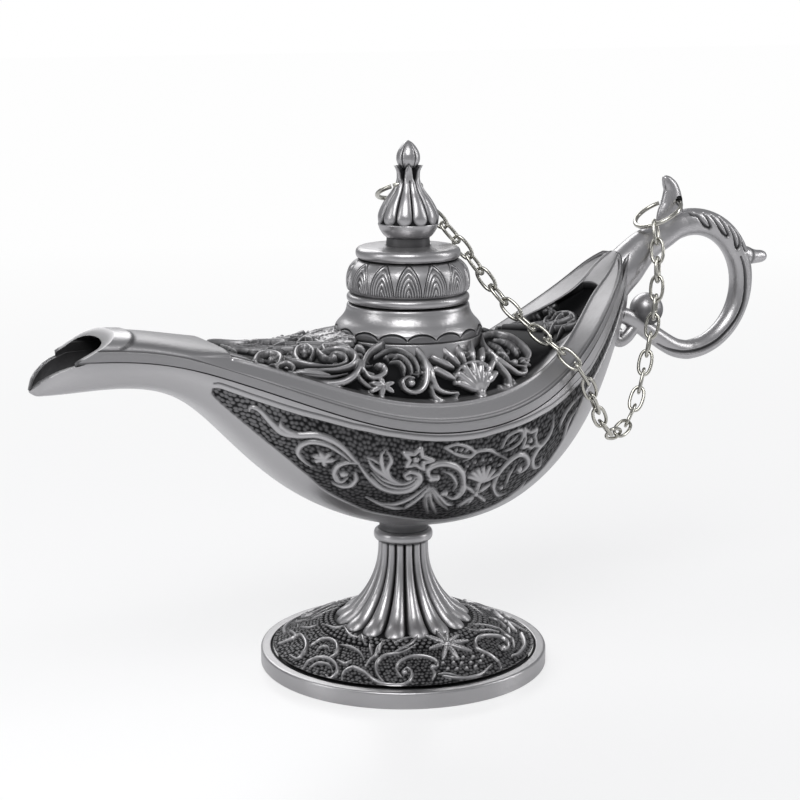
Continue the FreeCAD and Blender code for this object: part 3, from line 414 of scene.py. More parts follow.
# Scrolls of the bowl in pixels of three enlarged parts: bow and waist, flank, keel
BOW_CORNER, FLANK_CORNER, SIDE_SCALE = (190, 340), (400, 330), 6.533
KEEL_CORNER, KEEL_SCALE = (330, 480), 6.031
BOW_SCROLLS = [
    ([(385, 470), (400, 445), (455, 465), (530, 545), (600, 610), (700, 630), (830, 628), (930, 662),
      (1010, 720), (1070, 785), (1105, 812)], 0.62, 0.55),
    ([(590, 535), (597, 570), (640, 600), (700, 618)], 0.5, 0.5, (0.2, 0.6)),
    ([(1105, 815), (1040, 808), (975, 825), (945, 875), (965, 925), (1000, 930), (1030, 905)], 0.52,
      0.55),
    ([(1005, 885)], 0.75, 0.6),
    ([(925, 935), (975, 958), (1040, 962), (1085, 925), (1080, 875)], 0.5, 0.5, (0.2, 0.5)),
    ([(795, 835), (745, 800), (705, 745), (730, 695), (800, 672), (900, 692), (985, 745), (1045, 795)],
      0.55, 0.5),
    ([(1105, 820), (1150, 885), (1215, 955), (1300, 992), (1385, 998), (1455, 978), (1500, 930),
      (1495, 888), (1450, 868), (1408, 888), (1415, 915)], 0.62, 0.6),
    ([(1432, 908)], 0.62, 0.6),
]
BOW_LEAF = [
    [(800, 765), (870, 775)],
    [(845, 735), (880, 790)],
    [(920, 745), (870, 790)],
    [(950, 790), (880, 800)],
    [(885, 835), (870, 785)],
    [(815, 800), (860, 790)],
]
WAIST_SCROLLS = [
    ([(1158, 768), (1195, 830), (1265, 888), (1335, 930), (1415, 950)], 0.5, 0.5, (0.2, 0.4)),
    ([(1160, 770), (1205, 790), (1240, 820)], 0.3, 0.45),
    ([(1280, 718), (1252, 765), (1262, 840), (1300, 905), (1380, 945)], 0.42, 0.5, (0.3, 0.4)),
    ([(1280, 718), (1318, 790), (1292, 850), (1310, 905), (1385, 945)], 0.42, 0.5, (0.3, 0.4)),
]
WAIST_STAR = ((1481, 790), [(1402, 742), (1512, 712), (1592, 792), (1528, 852), (1416, 832)])
FLANK_SCROLLS = [
    ([(240, 985), (195, 965), (190, 915), (255, 882), (340, 888), (402, 930), (418, 1000), (398, 1060),
      (350, 1110)], 0.62, 0.6),
    ([(240, 975)], 0.72, 0.62),
    ([(280, 928), (335, 950), (370, 1010), (350, 1060)], 0.36, 0.45),
    ([(300, 775), (375, 752), (450, 770), (492, 805), (450, 832), (385, 822), (340, 800), (300, 775)],
      0.34, 0.45, (0.8, 0.8)),
    ([(420, 862), (465, 838), (510, 797), (590, 790), (640, 815), (712, 852)], 0.36, 0.45),
    ([(615, 1060), (640, 965), (700, 880), (775, 822), (828, 828), (842, 878), (805, 925), (770, 940)],
      0.5, 0.55),
    ([(785, 915)], 0.62, 0.6),
    ([(690, 1040), (715, 960), (765, 880)], 0.3, 0.4),
    ([(672, 772), (715, 695), (800, 660), (802, 715), (755, 765), (700, 792)], 0.32, 0.42, (0.8, 0.8)),
    ([(700, 760), (780, 690)], 0.26, 0.4),
    ([(1012, 560), (1003, 640), (965, 715), (905, 785), (872, 850), (880, 902), (918, 890), (932, 835)],
      0.48, 0.5),
    ([(1195, 425), (1115, 505), (1065, 590), (1050, 655)], 0.42, 0.45),
    ([(1180, 500), (1130, 560), (1100, 620), (1080, 690), (1060, 760)], 0.42, 0.45),
]
FLANK_BEADS = [(445, 895), (495, 870), (547, 853), (597, 850), (655, 885), (427, 930)]
FLANK_FAN_ROOT = (545, 1000)
FLANK_FAN = [(455, 965), (478, 938), (512, 920), (548, 908), (585, 908), (615, 925), (640, 945)]
FLANK_STAR = ((858, 727), [(820, 652), (902, 652), (896, 718), (922, 765), (858, 778), (805, 775)])
FLANK_TICKS = [[(x, 800), (x + 22, 778)] for x in (360, 395, 430)]
KEEL_SCROLLS = [
    ([(15, 28), (80, 48), (140, 35), (165, 0)], 0.48, 0.5),
    ([(622, -2)], 0.85, 0.65),
    ([(690, 100), (745, 118), (800, 80), (812, 20), (800, -30)], 0.5, 0.5),
    ([(692, 88)], 0.72, 0.6),
    ([(1005, -10), (985, 45), (1010, 95), (1065, 88)], 0.42, 0.45),
    ([(1035, 52)], 0.5, 0.5),
    ([(1075, 105), (1140, 60), (1190, 5)], 0.36, 0.45),
]
KEEL_BAND = [(250, -10), (320, 55), (420, 82), (500, 60), (545, -5)]
KEEL_LEAVES = [
    [(600, 45), (545, 110), (470, 165), (440, 185)],
    [(596, 50), (575, 130), (590, 210)],
    [(602, 50), (606, 130), (640, 210)],
    [(608, 50), (650, 130), (712, 185)],
    [(585, 45), (490, 115), (400, 150), (300, 150)],
    [(220, 112), (300, 150), (380, 175), (450, 180)],
    [(620, 50), (690, 140), (740, 160)],
]
KEEL_FLOWER = ((880, 92), [(828, 45), (905, 15), (965, 30), (935, 130), (822, 152), (770, 168)])


def hull_grid(angles, wall=0.0):
    """Rows along X, columns round from rim to rim."""
    x = -SPOUT_REACH + HULL[:, 0] * (SPOUT_REACH + STERN_REACH)
    half = np.maximum(HULL[:, 1] * BEAM / 2 - wall, 0.15)
    keel = KEEL_LOW + HULL[:, 2] * KEEL_RISE + wall
    rim = RIM_LOW + HULL[:, 3] * RIM_RISE
    sections = []
    for i in range(len(HULL)):
        y, down = arch(half[i], max(rim[i] - keel[i], 0.1), 2.3, 1.75, angles)
        sections.append(np.stack([np.full_like(y, x[i]), y, rim[i] - down], 1))
    return np.einsum("us,sak->uak", basis(len(HULL), BOWL_ROWS), np.array(sections))


def panel_of(hull, tree, girth):
    """How far each place belongs to the recessed panel, 0 to 1, and the girth at its upper edge."""
    x = hull[:, :, 0]

    def edge(pixels, before):
        """Girth at one edge for every place, and where the edge begins along X."""
        line = []
        for p in seen(tree, rounded(pixels, 3)):
            row = int(np.argmin(np.abs(x[:, 0] - p[0])))
            gaps = np.linalg.norm(hull[row] - np.array([p[0], -abs(p[1]), p[2]]), axis=1)
            line.append((p[0], girth[row, int(np.argmin(gaps))]))
        line = np.array(line)
        line = line[np.argsort(line[:, 0])]
        return np.interp(x, line[:, 0], line[:, 1], left=before), line[0, 0]

    # Before the first pixel of an edge the panel has no depth
    top, first_x = edge(PANEL_TOP, 50)
    low, _ = edge(PANEL_LOW, 0)
    depth = np.minimum(girth - top, low - girth)
    depth = np.minimum(depth, np.minimum((x - first_x) * 0.8, PANEL_END_X - x))
    return smoothstep(depth / 0.35 + 0.5), top


def turned_copies(tree, strokes):
    """The same scrolls turned about, for the flank beside the handle that the picture hides."""
    copies = []
    for points, widths, heights, grooved in strokes:
        moved = points.copy()
        moved[:, 0] = COPY_AXIS_X - (points[:, 0] + COPY_AXIS_X) * COPY_SCALE
        moved[:, 2] = points[:, 2] + (moved[:, 0] - points[:, 0]) * COPY_SLOPE + COPY_RISE
        snapped = np.array([tuple(tree.find_nearest(Vector(p))[0]) for p in near_side(moved)])
        if snapped[:, 0].min() > COPY_FROM_X:
            copies.append((snapped, widths * 0.9, heights, grooved))
    return copies


def bowl_relief(tree):
    """The scrolls of the bowl's panel."""
    relief = Relief()
    bow = Pencil(tree, relief, BOW_CORNER, SIDE_SCALE)
    bow.strokes(BOW_SCROLLS)
    for path in BOW_LEAF:
        bow.line(path, 0.5, 0.5, (0.3, 0.9))
    relief.strokes += turned_copies(tree, relief.strokes)
    bow.strokes(WAIST_SCROLLS)
    bow.star(*WAIST_STAR, 0.42, 0.42, 0.5)

    flank = Pencil(tree, relief, FLANK_CORNER, SIDE_SCALE)
    flank.strokes(FLANK_SCROLLS)
    for path in FLANK_TICKS:
        flank.line(path, 0.26, 0.4)
    for point in FLANK_BEADS:
        flank.dot(point, 0.32, 0.4)
    flank.fan(FLANK_FAN_ROOT, FLANK_FAN, 0.42, 0.5, (0.5, 1))
    flank.star(*FLANK_STAR, 0.3, 0.34, 0.45)

    keel = Pencil(tree, relief, KEEL_CORNER, KEEL_SCALE)
    keel.strokes(KEEL_SCROLLS)
    for rise, width in ((0, 0.45), (-28, 0.34), (-52, 0.3)):
        keel.line([(x, y + rise) for x, y in KEEL_BAND], width, 0.5)
    for path in KEEL_LEAVES:
        keel.line(path, 0.42, 0.5, (0.4, 0.3))
    keel.flower(*KEEL_FLOWER, 0.42, 0.5)
    return relief


def cut_to_mouth(grid, clearance):
    """Lowers what stands above the spout's edge and rounds the spout's tip."""
    x, y, z = grid[:, :, 0], grid[:, :, 1], grid[:, :, 2]
    mouth = np.interp(x, MOUTH_X, MOUTH_Z)
    z[:] = np.where(x < TIP_X, np.minimum(z, mouth - clearance), z)
    lead = np.clip((TIP_ROUND_X - x) / 1.3, 0, 0.98)
    z += (mouth - z) * (1 - np.sqrt(1 - lead ** 2)) * 0.8
    y *= np.sqrt(1 - 0.7 * lead ** 2)


def bowl_sheet():
    """The bowl: scrolled outside, inner wall, strips along the rim and closed ends."""
    angles = np.linspace(0, math.pi, BOWL_COLUMNS)
    hull = hull_grid(angles)
    tree = surface_tree(hull[::4, ::4])
    girth = row_girth(hull)
    x = hull[:, :, 0]
    panel, top_edge = panel_of(hull, tree, girth)
    raised = bowl_relief(tree).height(near_side(hull))
    grain = pebbles(x * 1.12, girth + 0.3 * np.sin(x * 0.9), GRAIN, 3)
    drawn = np.maximum(PANEL_DEPTH + 0.13 * grain, np.where(raised > 0, PANEL_DEPTH + raised * 1.05, -9))
    # Painted shade and highlight besides patina and wear: the sunk ground is dark, the pebbles' tops and the
    # strokes grow lighter with their height, the pebbles are lighter towards the bow, and the fine line is
    # dark
    ground_tone = 0.08 + (0.26 + 0.18 * smoothstep((-x - 22) / 12)) * grain ** 2
    drawn_tone = np.where(raised > 0.02, 0.26 + raised * 1.4, ground_tone)
    fine_line = ridge(girth - top_edge + 1.0, 0.16) * (x > FINE_LINE_X)
    height = panel * drawn - 0.12 * fine_line
    tone = (1 - panel * (1 - np.clip(drawn_tone, 0, 1))) * (1 - 0.55 * fine_line)

    outside = hull + outward_normals(hull) * height[:, :, None]
    inside = hull_grid(angles[::4], INNER_WALL)
    cut_to_mouth(outside, 0)
    cut_to_mouth(inside, 0.02)
    bowl = Sheet()
    outer_start = bowl.add(outside, tone)
    inner_start = bowl.add(inside, 0.3, flip=True)
    outer_columns, inner_columns = outside.shape[1], inside.shape[1]
    row = np.arange(BOWL_ROWS - 1)
    for outer, inner in ((0, 0), (outer_columns - 1, inner_columns - 1)):
        a = outer_start + row * outer_columns + outer
        b = inner_start + row * inner_columns + inner
        bowl.faces.append(np.stack([a, a + outer_columns, b + inner_columns, b], 1))
    bowl.cap(outside[0])
    bowl.cap(outside[-1])
    return bowl


# Cover: a lip along the seam, an upright band, the scrolled deck, the slanted front

LIP_COLUMNS, WALL_COLUMNS, DECK_COLUMNS = 10, 25, 257
COVER_ROWS, UNDER_ROWS = 560, 280
BORE_R, BORE_Z = 9.9, 52
RECESS, LACE_FRONT_X, LACE_STERN_X = -1.45, -36.5, 38.4
LINE_FRONT_X, INNER_LINE_X, STERN_SHADE_X = -28, -34, 8
CURLS, CURL_STEPS, COLLAR_CLEAR = 46, 18, 13.2

# Scrolls of the deck in pixels of two enlarged parts: beside the neck, and towards the spout
DECK_CORNER, SPOUT_CORNER, DECK_SCALE = (320, 220), (30, 220), 5.227
DECK_SCROLLS = [
    ([(285, 800), (240, 780), (232, 735), (255, 680), (310, 638), (385, 620), (460, 630), (528, 680),
      (562, 750), (566, 830), (545, 882), (500, 902), (455, 885), (440, 845), (465, 815), (500, 822)],
      0.66, 1.25),
    ([(238, 770), (262, 812), (305, 818), (345, 790), (335, 750), (300, 742)], 0.62, 1.25),
    ([(290, 690), (350, 655), (425, 655), (490, 695), (525, 760), (528, 810)], 0.44, 0.85),
    ([(345, 690), (415, 685), (465, 718), (490, 770), (492, 800)], 0.4, 0.8),
    ([(375, 720), (420, 722), (450, 755), (455, 800)], 0.36, 0.75),
    ([(548, 700), (585, 760), (600, 830), (628, 885), (680, 905), (735, 905)], 0.6, 1.2),
    ([(595, 860), (605, 920), (650, 948), (700, 945), (738, 915)], 0.6, 1.1),
    ([(205, 785), (225, 835), (262, 870), (300, 885)], 0.5, 0.95),
    ([(718, 860), (722, 800), (760, 750), (820, 735), (875, 755), (897, 810), (885, 870), (862, 905)],
      0.36, 1.2),
    ([(848, 578), (868, 640), (925, 705), (1000, 765), (1050, 800), (1085, 795), (1080, 765),
      (1040, 755)], 0.56, 1.2),
    ([(848, 580), (915, 572), (1000, 595), (1065, 640), (1102, 685), (1095, 720), (1062, 712)], 0.56,
      1.2),
    ([(890, 615), (945, 650), (985, 700), (1010, 735)], 0.4, 0.9),
    ([(915, 600), (975, 615), (1025, 655), (1050, 690)], 0.4, 0.9),
    ([(945, 595), (1010, 625), (1060, 670)], 0.3, 0.8),
    ([(905, 690), (955, 760), (1000, 825), (995, 875), (960, 875)], 0.62, 1.15),
    ([(1000, 820), (1028, 850), (1020, 880)], 0.5, 0.9),
    ([(1195, 600), (1210, 545), (1255, 485), (1300, 475), (1325, 500), (1290, 520)], 0.6, 1.1),
    ([(1240, 590), (1262, 540), (1290, 520)], 0.4, 0.8),
    ([(1180, 560), (1170, 510), (1200, 470)], 0.5, 0.9),
    ([(0, 770), (90, 770), (170, 745), (190, 700), (150, 665), (80, 655), (10, 668)], 0.6, 1.25),
    ([(40, 700), (75, 675), (130, 690), (140, 725), (90, 745), (30, 740)], 0.42, 1.0),
    ([(195, 700), (215, 740), (190, 800), (130, 845), (40, 860), (-60, 850), (-160, 820), (-250, 800)],
      0.85, 1.2),
    ([(150, 790), (60, 815), (-60, 810), (-160, 790)], 0.5, 0.85),
    ([(180, 655), (205, 645), (235, 660)], 0.5, 1.1),
]
DECK_DOTS = [
    ([(855, 902)], 0.95, 1.4),
    ([(55, 618)], 1.1, 1.3),
    ([(75, 702)], 0.6, 1.2),
    ([(318, 752)], 0.66, 1.3),
    ([(485, 850)], 0.85, 1.35),
    ([(1028, 738)], 0.75, 1.3),
]
DECK_LEAVES = [
    [(598, 712), (705, 765)],
    [(648, 665), (735, 745)],
    [(708, 632), (765, 730)],
    [(788, 635), (812, 725)],
    [(852, 672), (855, 738)],
    [(912, 740), (885, 800)],
    [(612, 772), (715, 830)],
    [(925, 800), (890, 850)],
]
DECK_FAN_ROOT = (850, 898)
DECK_FAN = [(735, 800), (765, 765), (810, 750), (850, 762), (880, 800), (882, 850), (740, 850)]
BREAST_FAN_ROOT = (60, 620)
BREAST_FAN = [(0, 590), (30, 568), (70, 562), (110, 572), (148, 590), (165, 622), (150, 650)]
DECK_FLOWERS = [
    ((335, 862), [(325, 825), (388, 850), (388, 900), (330, 925), (275, 900), (278, 850)], 0.5, 1.2, 0.42),
    ((1090, 745), [(1070, 725), (1105, 722), (1112, 760), (1085, 780)], 0.36, 1.0),
    ((1190, 455), [(1160, 440), (1190, 425), (1225, 435), (1225, 465), (1195, 480), (1160, 470)], 0.36, 0.9),
    ((1120, 478), [(1095, 465), (1120, 455), (1145, 465), (1140, 490), (1105, 492)], 0.32, 0.8),
]
SPOUT_SCROLLS = [
    ([(755, 608), (800, 592), (850, 600), (880, 640)], 0.5, 0.8),
    ([(905, 612), (950, 605), (1040, 640), (1130, 652), (1230, 660), (1320, 655)], 0.5, 0.9),
    ([(870, 615), (940, 645), (1050, 680), (1140, 712), (1190, 742)], 0.62, 1.0),
    ([(1290, 800), (1215, 775), (1182, 735), (1195, 690), (1255, 676), (1310, 695), (1300, 735),
      (1262, 742)], 0.56, 1.15),
    ([(1335, 805), (1298, 785), (1300, 742), (1345, 728), (1385, 750), (1375, 790)], 0.45, 1.0),
    ([(1310, 690), (1400, 720), (1480, 740), (1568, 745)], 0.5, 1.0),
    ([(1400, 775), (1480, 772), (1568, 775)], 0.5, 0.95),
    ([(1360, 805), (1440, 790), (1520, 795), (1568, 802)], 0.75, 1.1),
    ([(1385, 820), (1450, 838), (1520, 855), (1568, 862)], 0.75, 1.0),
    ([(1490, 735), (1420, 725), (1388, 690), (1400, 652), (1450, 642), (1482, 668), (1468, 700)], 0.5,
      1.1),
    ([(1380, 650), (1410, 610), (1460, 580), (1500, 570)], 0.5, 0.95),
    ([(1220, 660), (1290, 630), (1350, 612), (1420, 580)], 0.5, 0.85),
    ([(1500, 650), (1530, 690), (1568, 700)], 0.45, 1.0),
]
SPOUT_DOTS = [
    ([(1262, 712)], 0.6, 1.1),
    ([(1345, 765)], 0.5, 1.0),
    ([(1435, 672)], 0.55, 1.1),
]
SPOUT_FAN_ROOT = (1525, 630)
SPOUT_FAN = [(1490, 610), (1515, 590), (1545, 585), (1568, 600), (1568, 640), (1540, 660)]


def cover_grid(samples, shrink=0.0):
    """Rows along X; columns from one seam over the deck to the other."""
    foot = RIM_LOW + COVER[:, 2] * RIM_RISE
    half = COVER[:, 1] * BEAM / 2
    sections = (-COVER_FRONT + COVER[:, 0] * (COVER_STERN + COVER_FRONT), half, foot, COVER[:, 3] * half,
                foot + COVER[:, 4] * RIM_RISE, foot + COVER[:, 5] * RIM_RISE)
    weights = basis(len(COVER), samples)
    x, half, foot, inner, edge, crest = [weights @ values for values in sections]
    half, inner, edge, crest = half - shrink, inner - shrink, edge - shrink, crest - shrink
    low = foot + SEAM - shrink
    lip = foot + SEAM + LIP_HEIGHT * np.minimum(1, half / LIP_FULL)
    side = np.linspace(0, 1, LIP_COLUMNS)
    wall = np.linspace(0, 1, WALL_COLUMNS + 1)[1:]
    across, up = arch(1.0, 1.0, 2.3, 2.8, np.linspace(0, math.pi, DECK_COLUMNS + 2)[1:-1])
    rows = []
    for i in range(samples):
        lip_part = np.stack([half[i] - LIP_LEAN * side, low[i] + (lip[i] - low[i]) * side], 1)
        wall_part = np.stack([half[i] - LIP_LEAN + (inner[i] - half[i] + LIP_LEAN) * wall,
                              lip[i] + (edge[i] - lip[i]) * wall], 1)
        deck_part = np.stack([across * inner[i], edge[i] + up * (crest[i] - edge[i])], 1)
        right = np.concatenate([lip_part, wall_part])
        yz = np.concatenate([right, deck_part, right[::-1] * np.array([-1, 1])])
        # Towards the spout the band and the deck run into one plain round arch
        plain = smoothstep((-34 - x[i]) / 9)
        turn = np.linspace(0, math.pi, len(yz) - 2 * LIP_COLUMNS)
        y_round, z_round = arch(half[i] - LIP_LEAN, crest[i] - lip[i], 2.2, 2.2, turn)
        band = slice(LIP_COLUMNS, len(yz) - LIP_COLUMNS)
        yz[band] = yz[band] * (1 - plain) + np.stack([y_round, lip[i] + z_round], 1) * plain
        rows.append(np.column_stack([np.full(len(yz), x[i]), yz]))
    return np.array(rows)


def slant(x):
    """Height of the sloping plane that opens the cover towards the spout."""
    return SLANT_Z + (x - SLANT_X) * SLANT_RISE


def trimmed(grid):
    """The grid cut at the sloping plane: each column starts where it meets the plane; the cut's edge."""
    out = grid.copy()
    above = grid[:, :, 2] > slant(grid[:, :, 0])
    edge = grid[0].copy()
    for j in range(grid.shape[1]):
        rows_above = np.nonzero(above[:, j])[0]
        if not len(rows_above):
            continue
        k = rows_above[-1]
        p, q = grid[k, j], grid[k + 1, j]
        over, under = p[2] - slant(p[0]), q[2] - slant(q[0])
        edge[j] = p + (q - p) * over / (over - under)
        out[:k + 1, j] = edge[j]
        above[:k + 1, j] = True
    return out, above, edge


def deck_relief(tree):
    """The scrolls, leaves and flowers of the deck."""
    relief = Relief()
    deck = Pencil(tree, relief, DECK_CORNER, DECK_SCALE)
    deck.strokes(DECK_SCROLLS + DECK_DOTS, (0.5, 0.5), per=5)
    for tip, root in DECK_LEAVES:
        deck.line([root, halfway(root, tip), tip], 0.72, 1.35, (0.5, 0.95), per=4)
    deck.fan(DECK_FAN_ROOT, DECK_FAN, 0.8, 1.25, (0.4, 1.0))
    deck.fan(BREAST_FAN_ROOT, BREAST_FAN, 0.5, 1.1, (0.5, 0.95))
    for flower in DECK_FLOWERS:
        deck.flower(*flower)
    spout = Pencil(tree, relief, SPOUT_CORNER, DECK_SCALE)
    spout.strokes(SPOUT_SCROLLS + SPOUT_DOTS, (0.5, 0.5), per=5)
    spout.fan(SPOUT_FAN_ROOT, SPOUT_FAN, 0.4, 1.0, (0.5, 0.95))
    relief.strokes = [(near_side(points), *rest) for points, *rest in relief.strokes]
    return relief


def deck_curls(tree):
    """Small curls that fill the gaps between the scrolls, as on the casting."""
    relief = Relief()
    for i in range(CURLS):
        x, y = -33 + 70 * hashed(i, 3, 11), -1.5 - 15.5 * hashed(i, 7, 5)
        hit = tree.ray_cast(Vector((x, y, 90)), Vector((0, 0, -1)))[0]
        if hit is None or math.hypot(x - NECK_X, y) < COLLAR_CLEAR:
            continue
        turn, size = 6.28 * hashed(i, 1, 2), 0.9 + 0.9 * hashed(i, 2, 9)
        spin = 1 if i % 2 else -1
        curl = []
        for k in range(CURL_STEPS):
            a = turn + spin * k * 0.32
            r = size * (1 - k / 24)
            spot = tree.find_nearest(Vector((x + r * math.cos(a), y + r * math.sin(a), hit.z)))[0]
            curl.append(tuple(spot))
        relief.line(curl, 0.36, 0.62, (0.4, 0.6))
    return relief


def deck_surface(deck):
    """Height and tone of the deck: its lace of scrolls, the lines of its border and its plain front."""
    tree = surface_tree(deck[::4, ::3])
    x, y, z = deck[:, :, 0], deck[:, :, 1], deck[:, :, 2]
    first = LIP_COLUMNS + WALL_COLUMNS
    on_deck = np.zeros(x.shape, bool)
    on_deck[:, first:first + DECK_COLUMNS] = True
    girth = row_girth(deck)
    inward = girth - girth[:, first - 1:first]
    above_lip = girth - girth[:, LIP_COLUMNS - 1:LIP_COLUMNS]

    places = near_side(deck)
    lace = deck_relief(tree).height(places)
    lace = np.maximum(lace, np.where(lace > 0.05, 0, deck_curls(tree).height(places)))
    front = LACE_FRONT_X + 0.10 * np.abs(y)
    zone = smoothstep(np.minimum(inward / 0.25, (x - front) / 0.8)) * on_deck
    zone *= smoothstep((LACE_STERN_X - x - 0.05 * y ** 2) / 0.6)
    # Painted shade in the sunk ground and painted highlight on the lace, lighter with its height, besides
    # patina and wear
    height = zone * (RECESS + lace * 1.22)
    tone = 1 - zone * (1 - np.clip(0.02 + lace * 0.78, 0, 1))

    # Two fine grooves above the lip and a bead round the deck
    groove = ridge(above_lip - 0.25, 0.17)
    second = ridge(above_lip - 0.85, 0.12) * (x > LINE_FRONT_X)
    bead = ridge(inward + 0.35, 0.3) * (x > front)
    height = height - 0.22 * groove - 0.1 * second + 0.22 * bead
    # The grooves are darkened with patina and painted shade
    tone = tone * (1 - 0.62 * groove) * (1 - 0.35 * second)

    # A raised border along the sloping cut, with a dark inner line, patina and painted shade; painted shade
    # over the plain front; and a darker stern, also painted shade
    to_front = (slant(x) - z) / math.hypot(1, SLANT_RISE)
    step = smoothstep((to_front - 1.45) / 0.25) * smoothstep((above_lip - 0.25) / 0.3)
    height = height - 0.28 * step * smoothstep((-30 - x) / 14)
    inner_line = ridge(to_front - 1.6, 0.2) * smoothstep((above_lip - 0.2) / 0.3) * (x < INNER_LINE_X)
    shade = smoothstep((-26 - x) / 10) * smoothstep((inward + 1.2) / 3.0)
    tone = tone * (1 - 0.6 * inner_line) * (1 - 0.30 * shade * step)
    return height, tone * (1 - 0.32 * smoothstep((x - STERN_SHADE_X) / 22))


def cover_sheet():
    """The cover's shell and underside, cut open at the slant and over the neck's bore."""
    deck = cover_grid(COVER_ROWS)
    height, tone = deck_surface(deck)
    shell, above, cut_edge = trimmed(deck + outward_normals(deck) * height[:, :, None])
    under = cover_grid(UNDER_ROWS, INNER_WALL)
    reach = np.abs(under[:, :, 1])
    under[:, :, 2] -= 1.6 * smoothstep((under[:, :, 0] + 42) / 6) * smoothstep((reach[:, :1] - reach) / 2)
    under, under_above, inner_edge = trimmed(under)

    def gone(cut):
        """Picks the faces that the slant cuts away and those over the neck's bore."""
        def over(faces, middles):
            in_bore = np.hypot(middles[:, 0] - NECK_X, middles[:, 1]) < BORE_R
            return cut.reshape(-1)[faces].all(1) | (in_bore & (middles[:, 2] > BORE_Z))
        return over

    cover = Sheet()
    cover.add(shell, tone, gone=gone(above))
    cover.add(under, 0.3, flip=True, gone=gone(under_above))
    bevel = np.stack([cut_edge, cut_edge * 0.5 + inner_edge * 0.5, inner_edge])
    cover.add(bevel, np.array([[0.85], [0.6], [0.4]]))
    # Underside of the lip
    for column in (0, -1):
        outer = shell[:, column]
        inner = [np.interp(outer[:, 0], under[:, column, 0], under[:, column, k]) for k in range(3)]
        cover.add(np.stack([outer, np.stack(inner, 1)]), 0.5)
    return cover


# Turned parts

COLLAR_COLUMNS, LID_COLUMNS, BULB_COLUMNS, BUD_COLUMNS, PLAIN_COLUMNS = 960, 1120, 900, 420, 320
FINE_STEP = 0.045


def profile_rows(corners, step, smooth):
    """Radius and height along an outline, evenly stepped."""
    p = np.asarray(rounded(corners, 12) if smooth else corners, float)
    s = np.concatenate([[0], np.cumsum(np.hypot(*np.diff(p, axis=0).T))])
    t = np.linspace(0, s[-1], max(2, int(s[-1] / step)))
    return np.interp(t, s, p[:, 0]), np.interp(t, s, p[:, 1])


def turned(r, z, columns, centre_x=0.0):
    """A grid of rings of the given radii and heights, and the angle of each of its places."""
    phi = np.linspace(0, ROUND, columns, endpoint=False)
    r, z, phi = np.broadcast_arrays(np.asarray(r)[:, None], np.asarray(z)[:, None], phi[None, :])
    return np.stack([centre_x + r * np.cos(phi), r * np.sin(phi), z], 2), phi


def spun(corners, step, columns, centre_x=0.0, base_z=0.0, smooth=True):
    """A turned grid from an outline of radius and height, with the radii, heights and angles."""
    r, z = profile_rows(corners, step, smooth)
    grid, phi = turned(r, z + base_z, columns, centre_x)
    return grid, r, z, phi


def pushed(grid, share, centre_x=0.0):
    """Each place of a turned grid moved to a share of its distance from the axis."""
    grid[:, :, 0] = centre_x + (grid[:, :, 0] - centre_x) * share
    grid[:, :, 1] *= share


def lobes(phi, count, shift):
    """Where each place lies across its rib, -1 to 1."""
    return ((phi * count / ROUND + shift) % 1) * 2 - 1


# Foot: rim, scrolled cone and ribbed stem

FOOT_EDGE = [(22.0, 0), (24.85, 0), (25.0, 0.12), (25.0, 2.5), (24.9, 2.74), (24.68, 2.86), (23.42, 2.86),
    (23.25, 2.78), (23.15, 2.55), (23.05, 2.5), (22.86, 2.75)]
FOOT_TOP = [(0.9, STEM_TOP), (3.9, STEM_TOP)]
FOOT_HOLLOW = [(1.9, 11.2), (4.2, 11.2), (9, 7.6), (22.0, 1.5), (22.0, 0)]
BEAD_RINGS = ((12.75, 0.0), (13.6, 0.5), (14.5, 0.0))
BEADS, BEAD_R, BEADS_OUT_R = 76, 0.5, 15.1
CONE_TOP_R, CONE_EDGE_Z = 7.4, 3.25
FOOT_COLUMNS, STEM_COLUMNS, HOLLOW_COLUMNS = 1080, 960, 240
GROOVE_R, WALL_R, WALL_TOP = 23.3, 24.5, 2.4

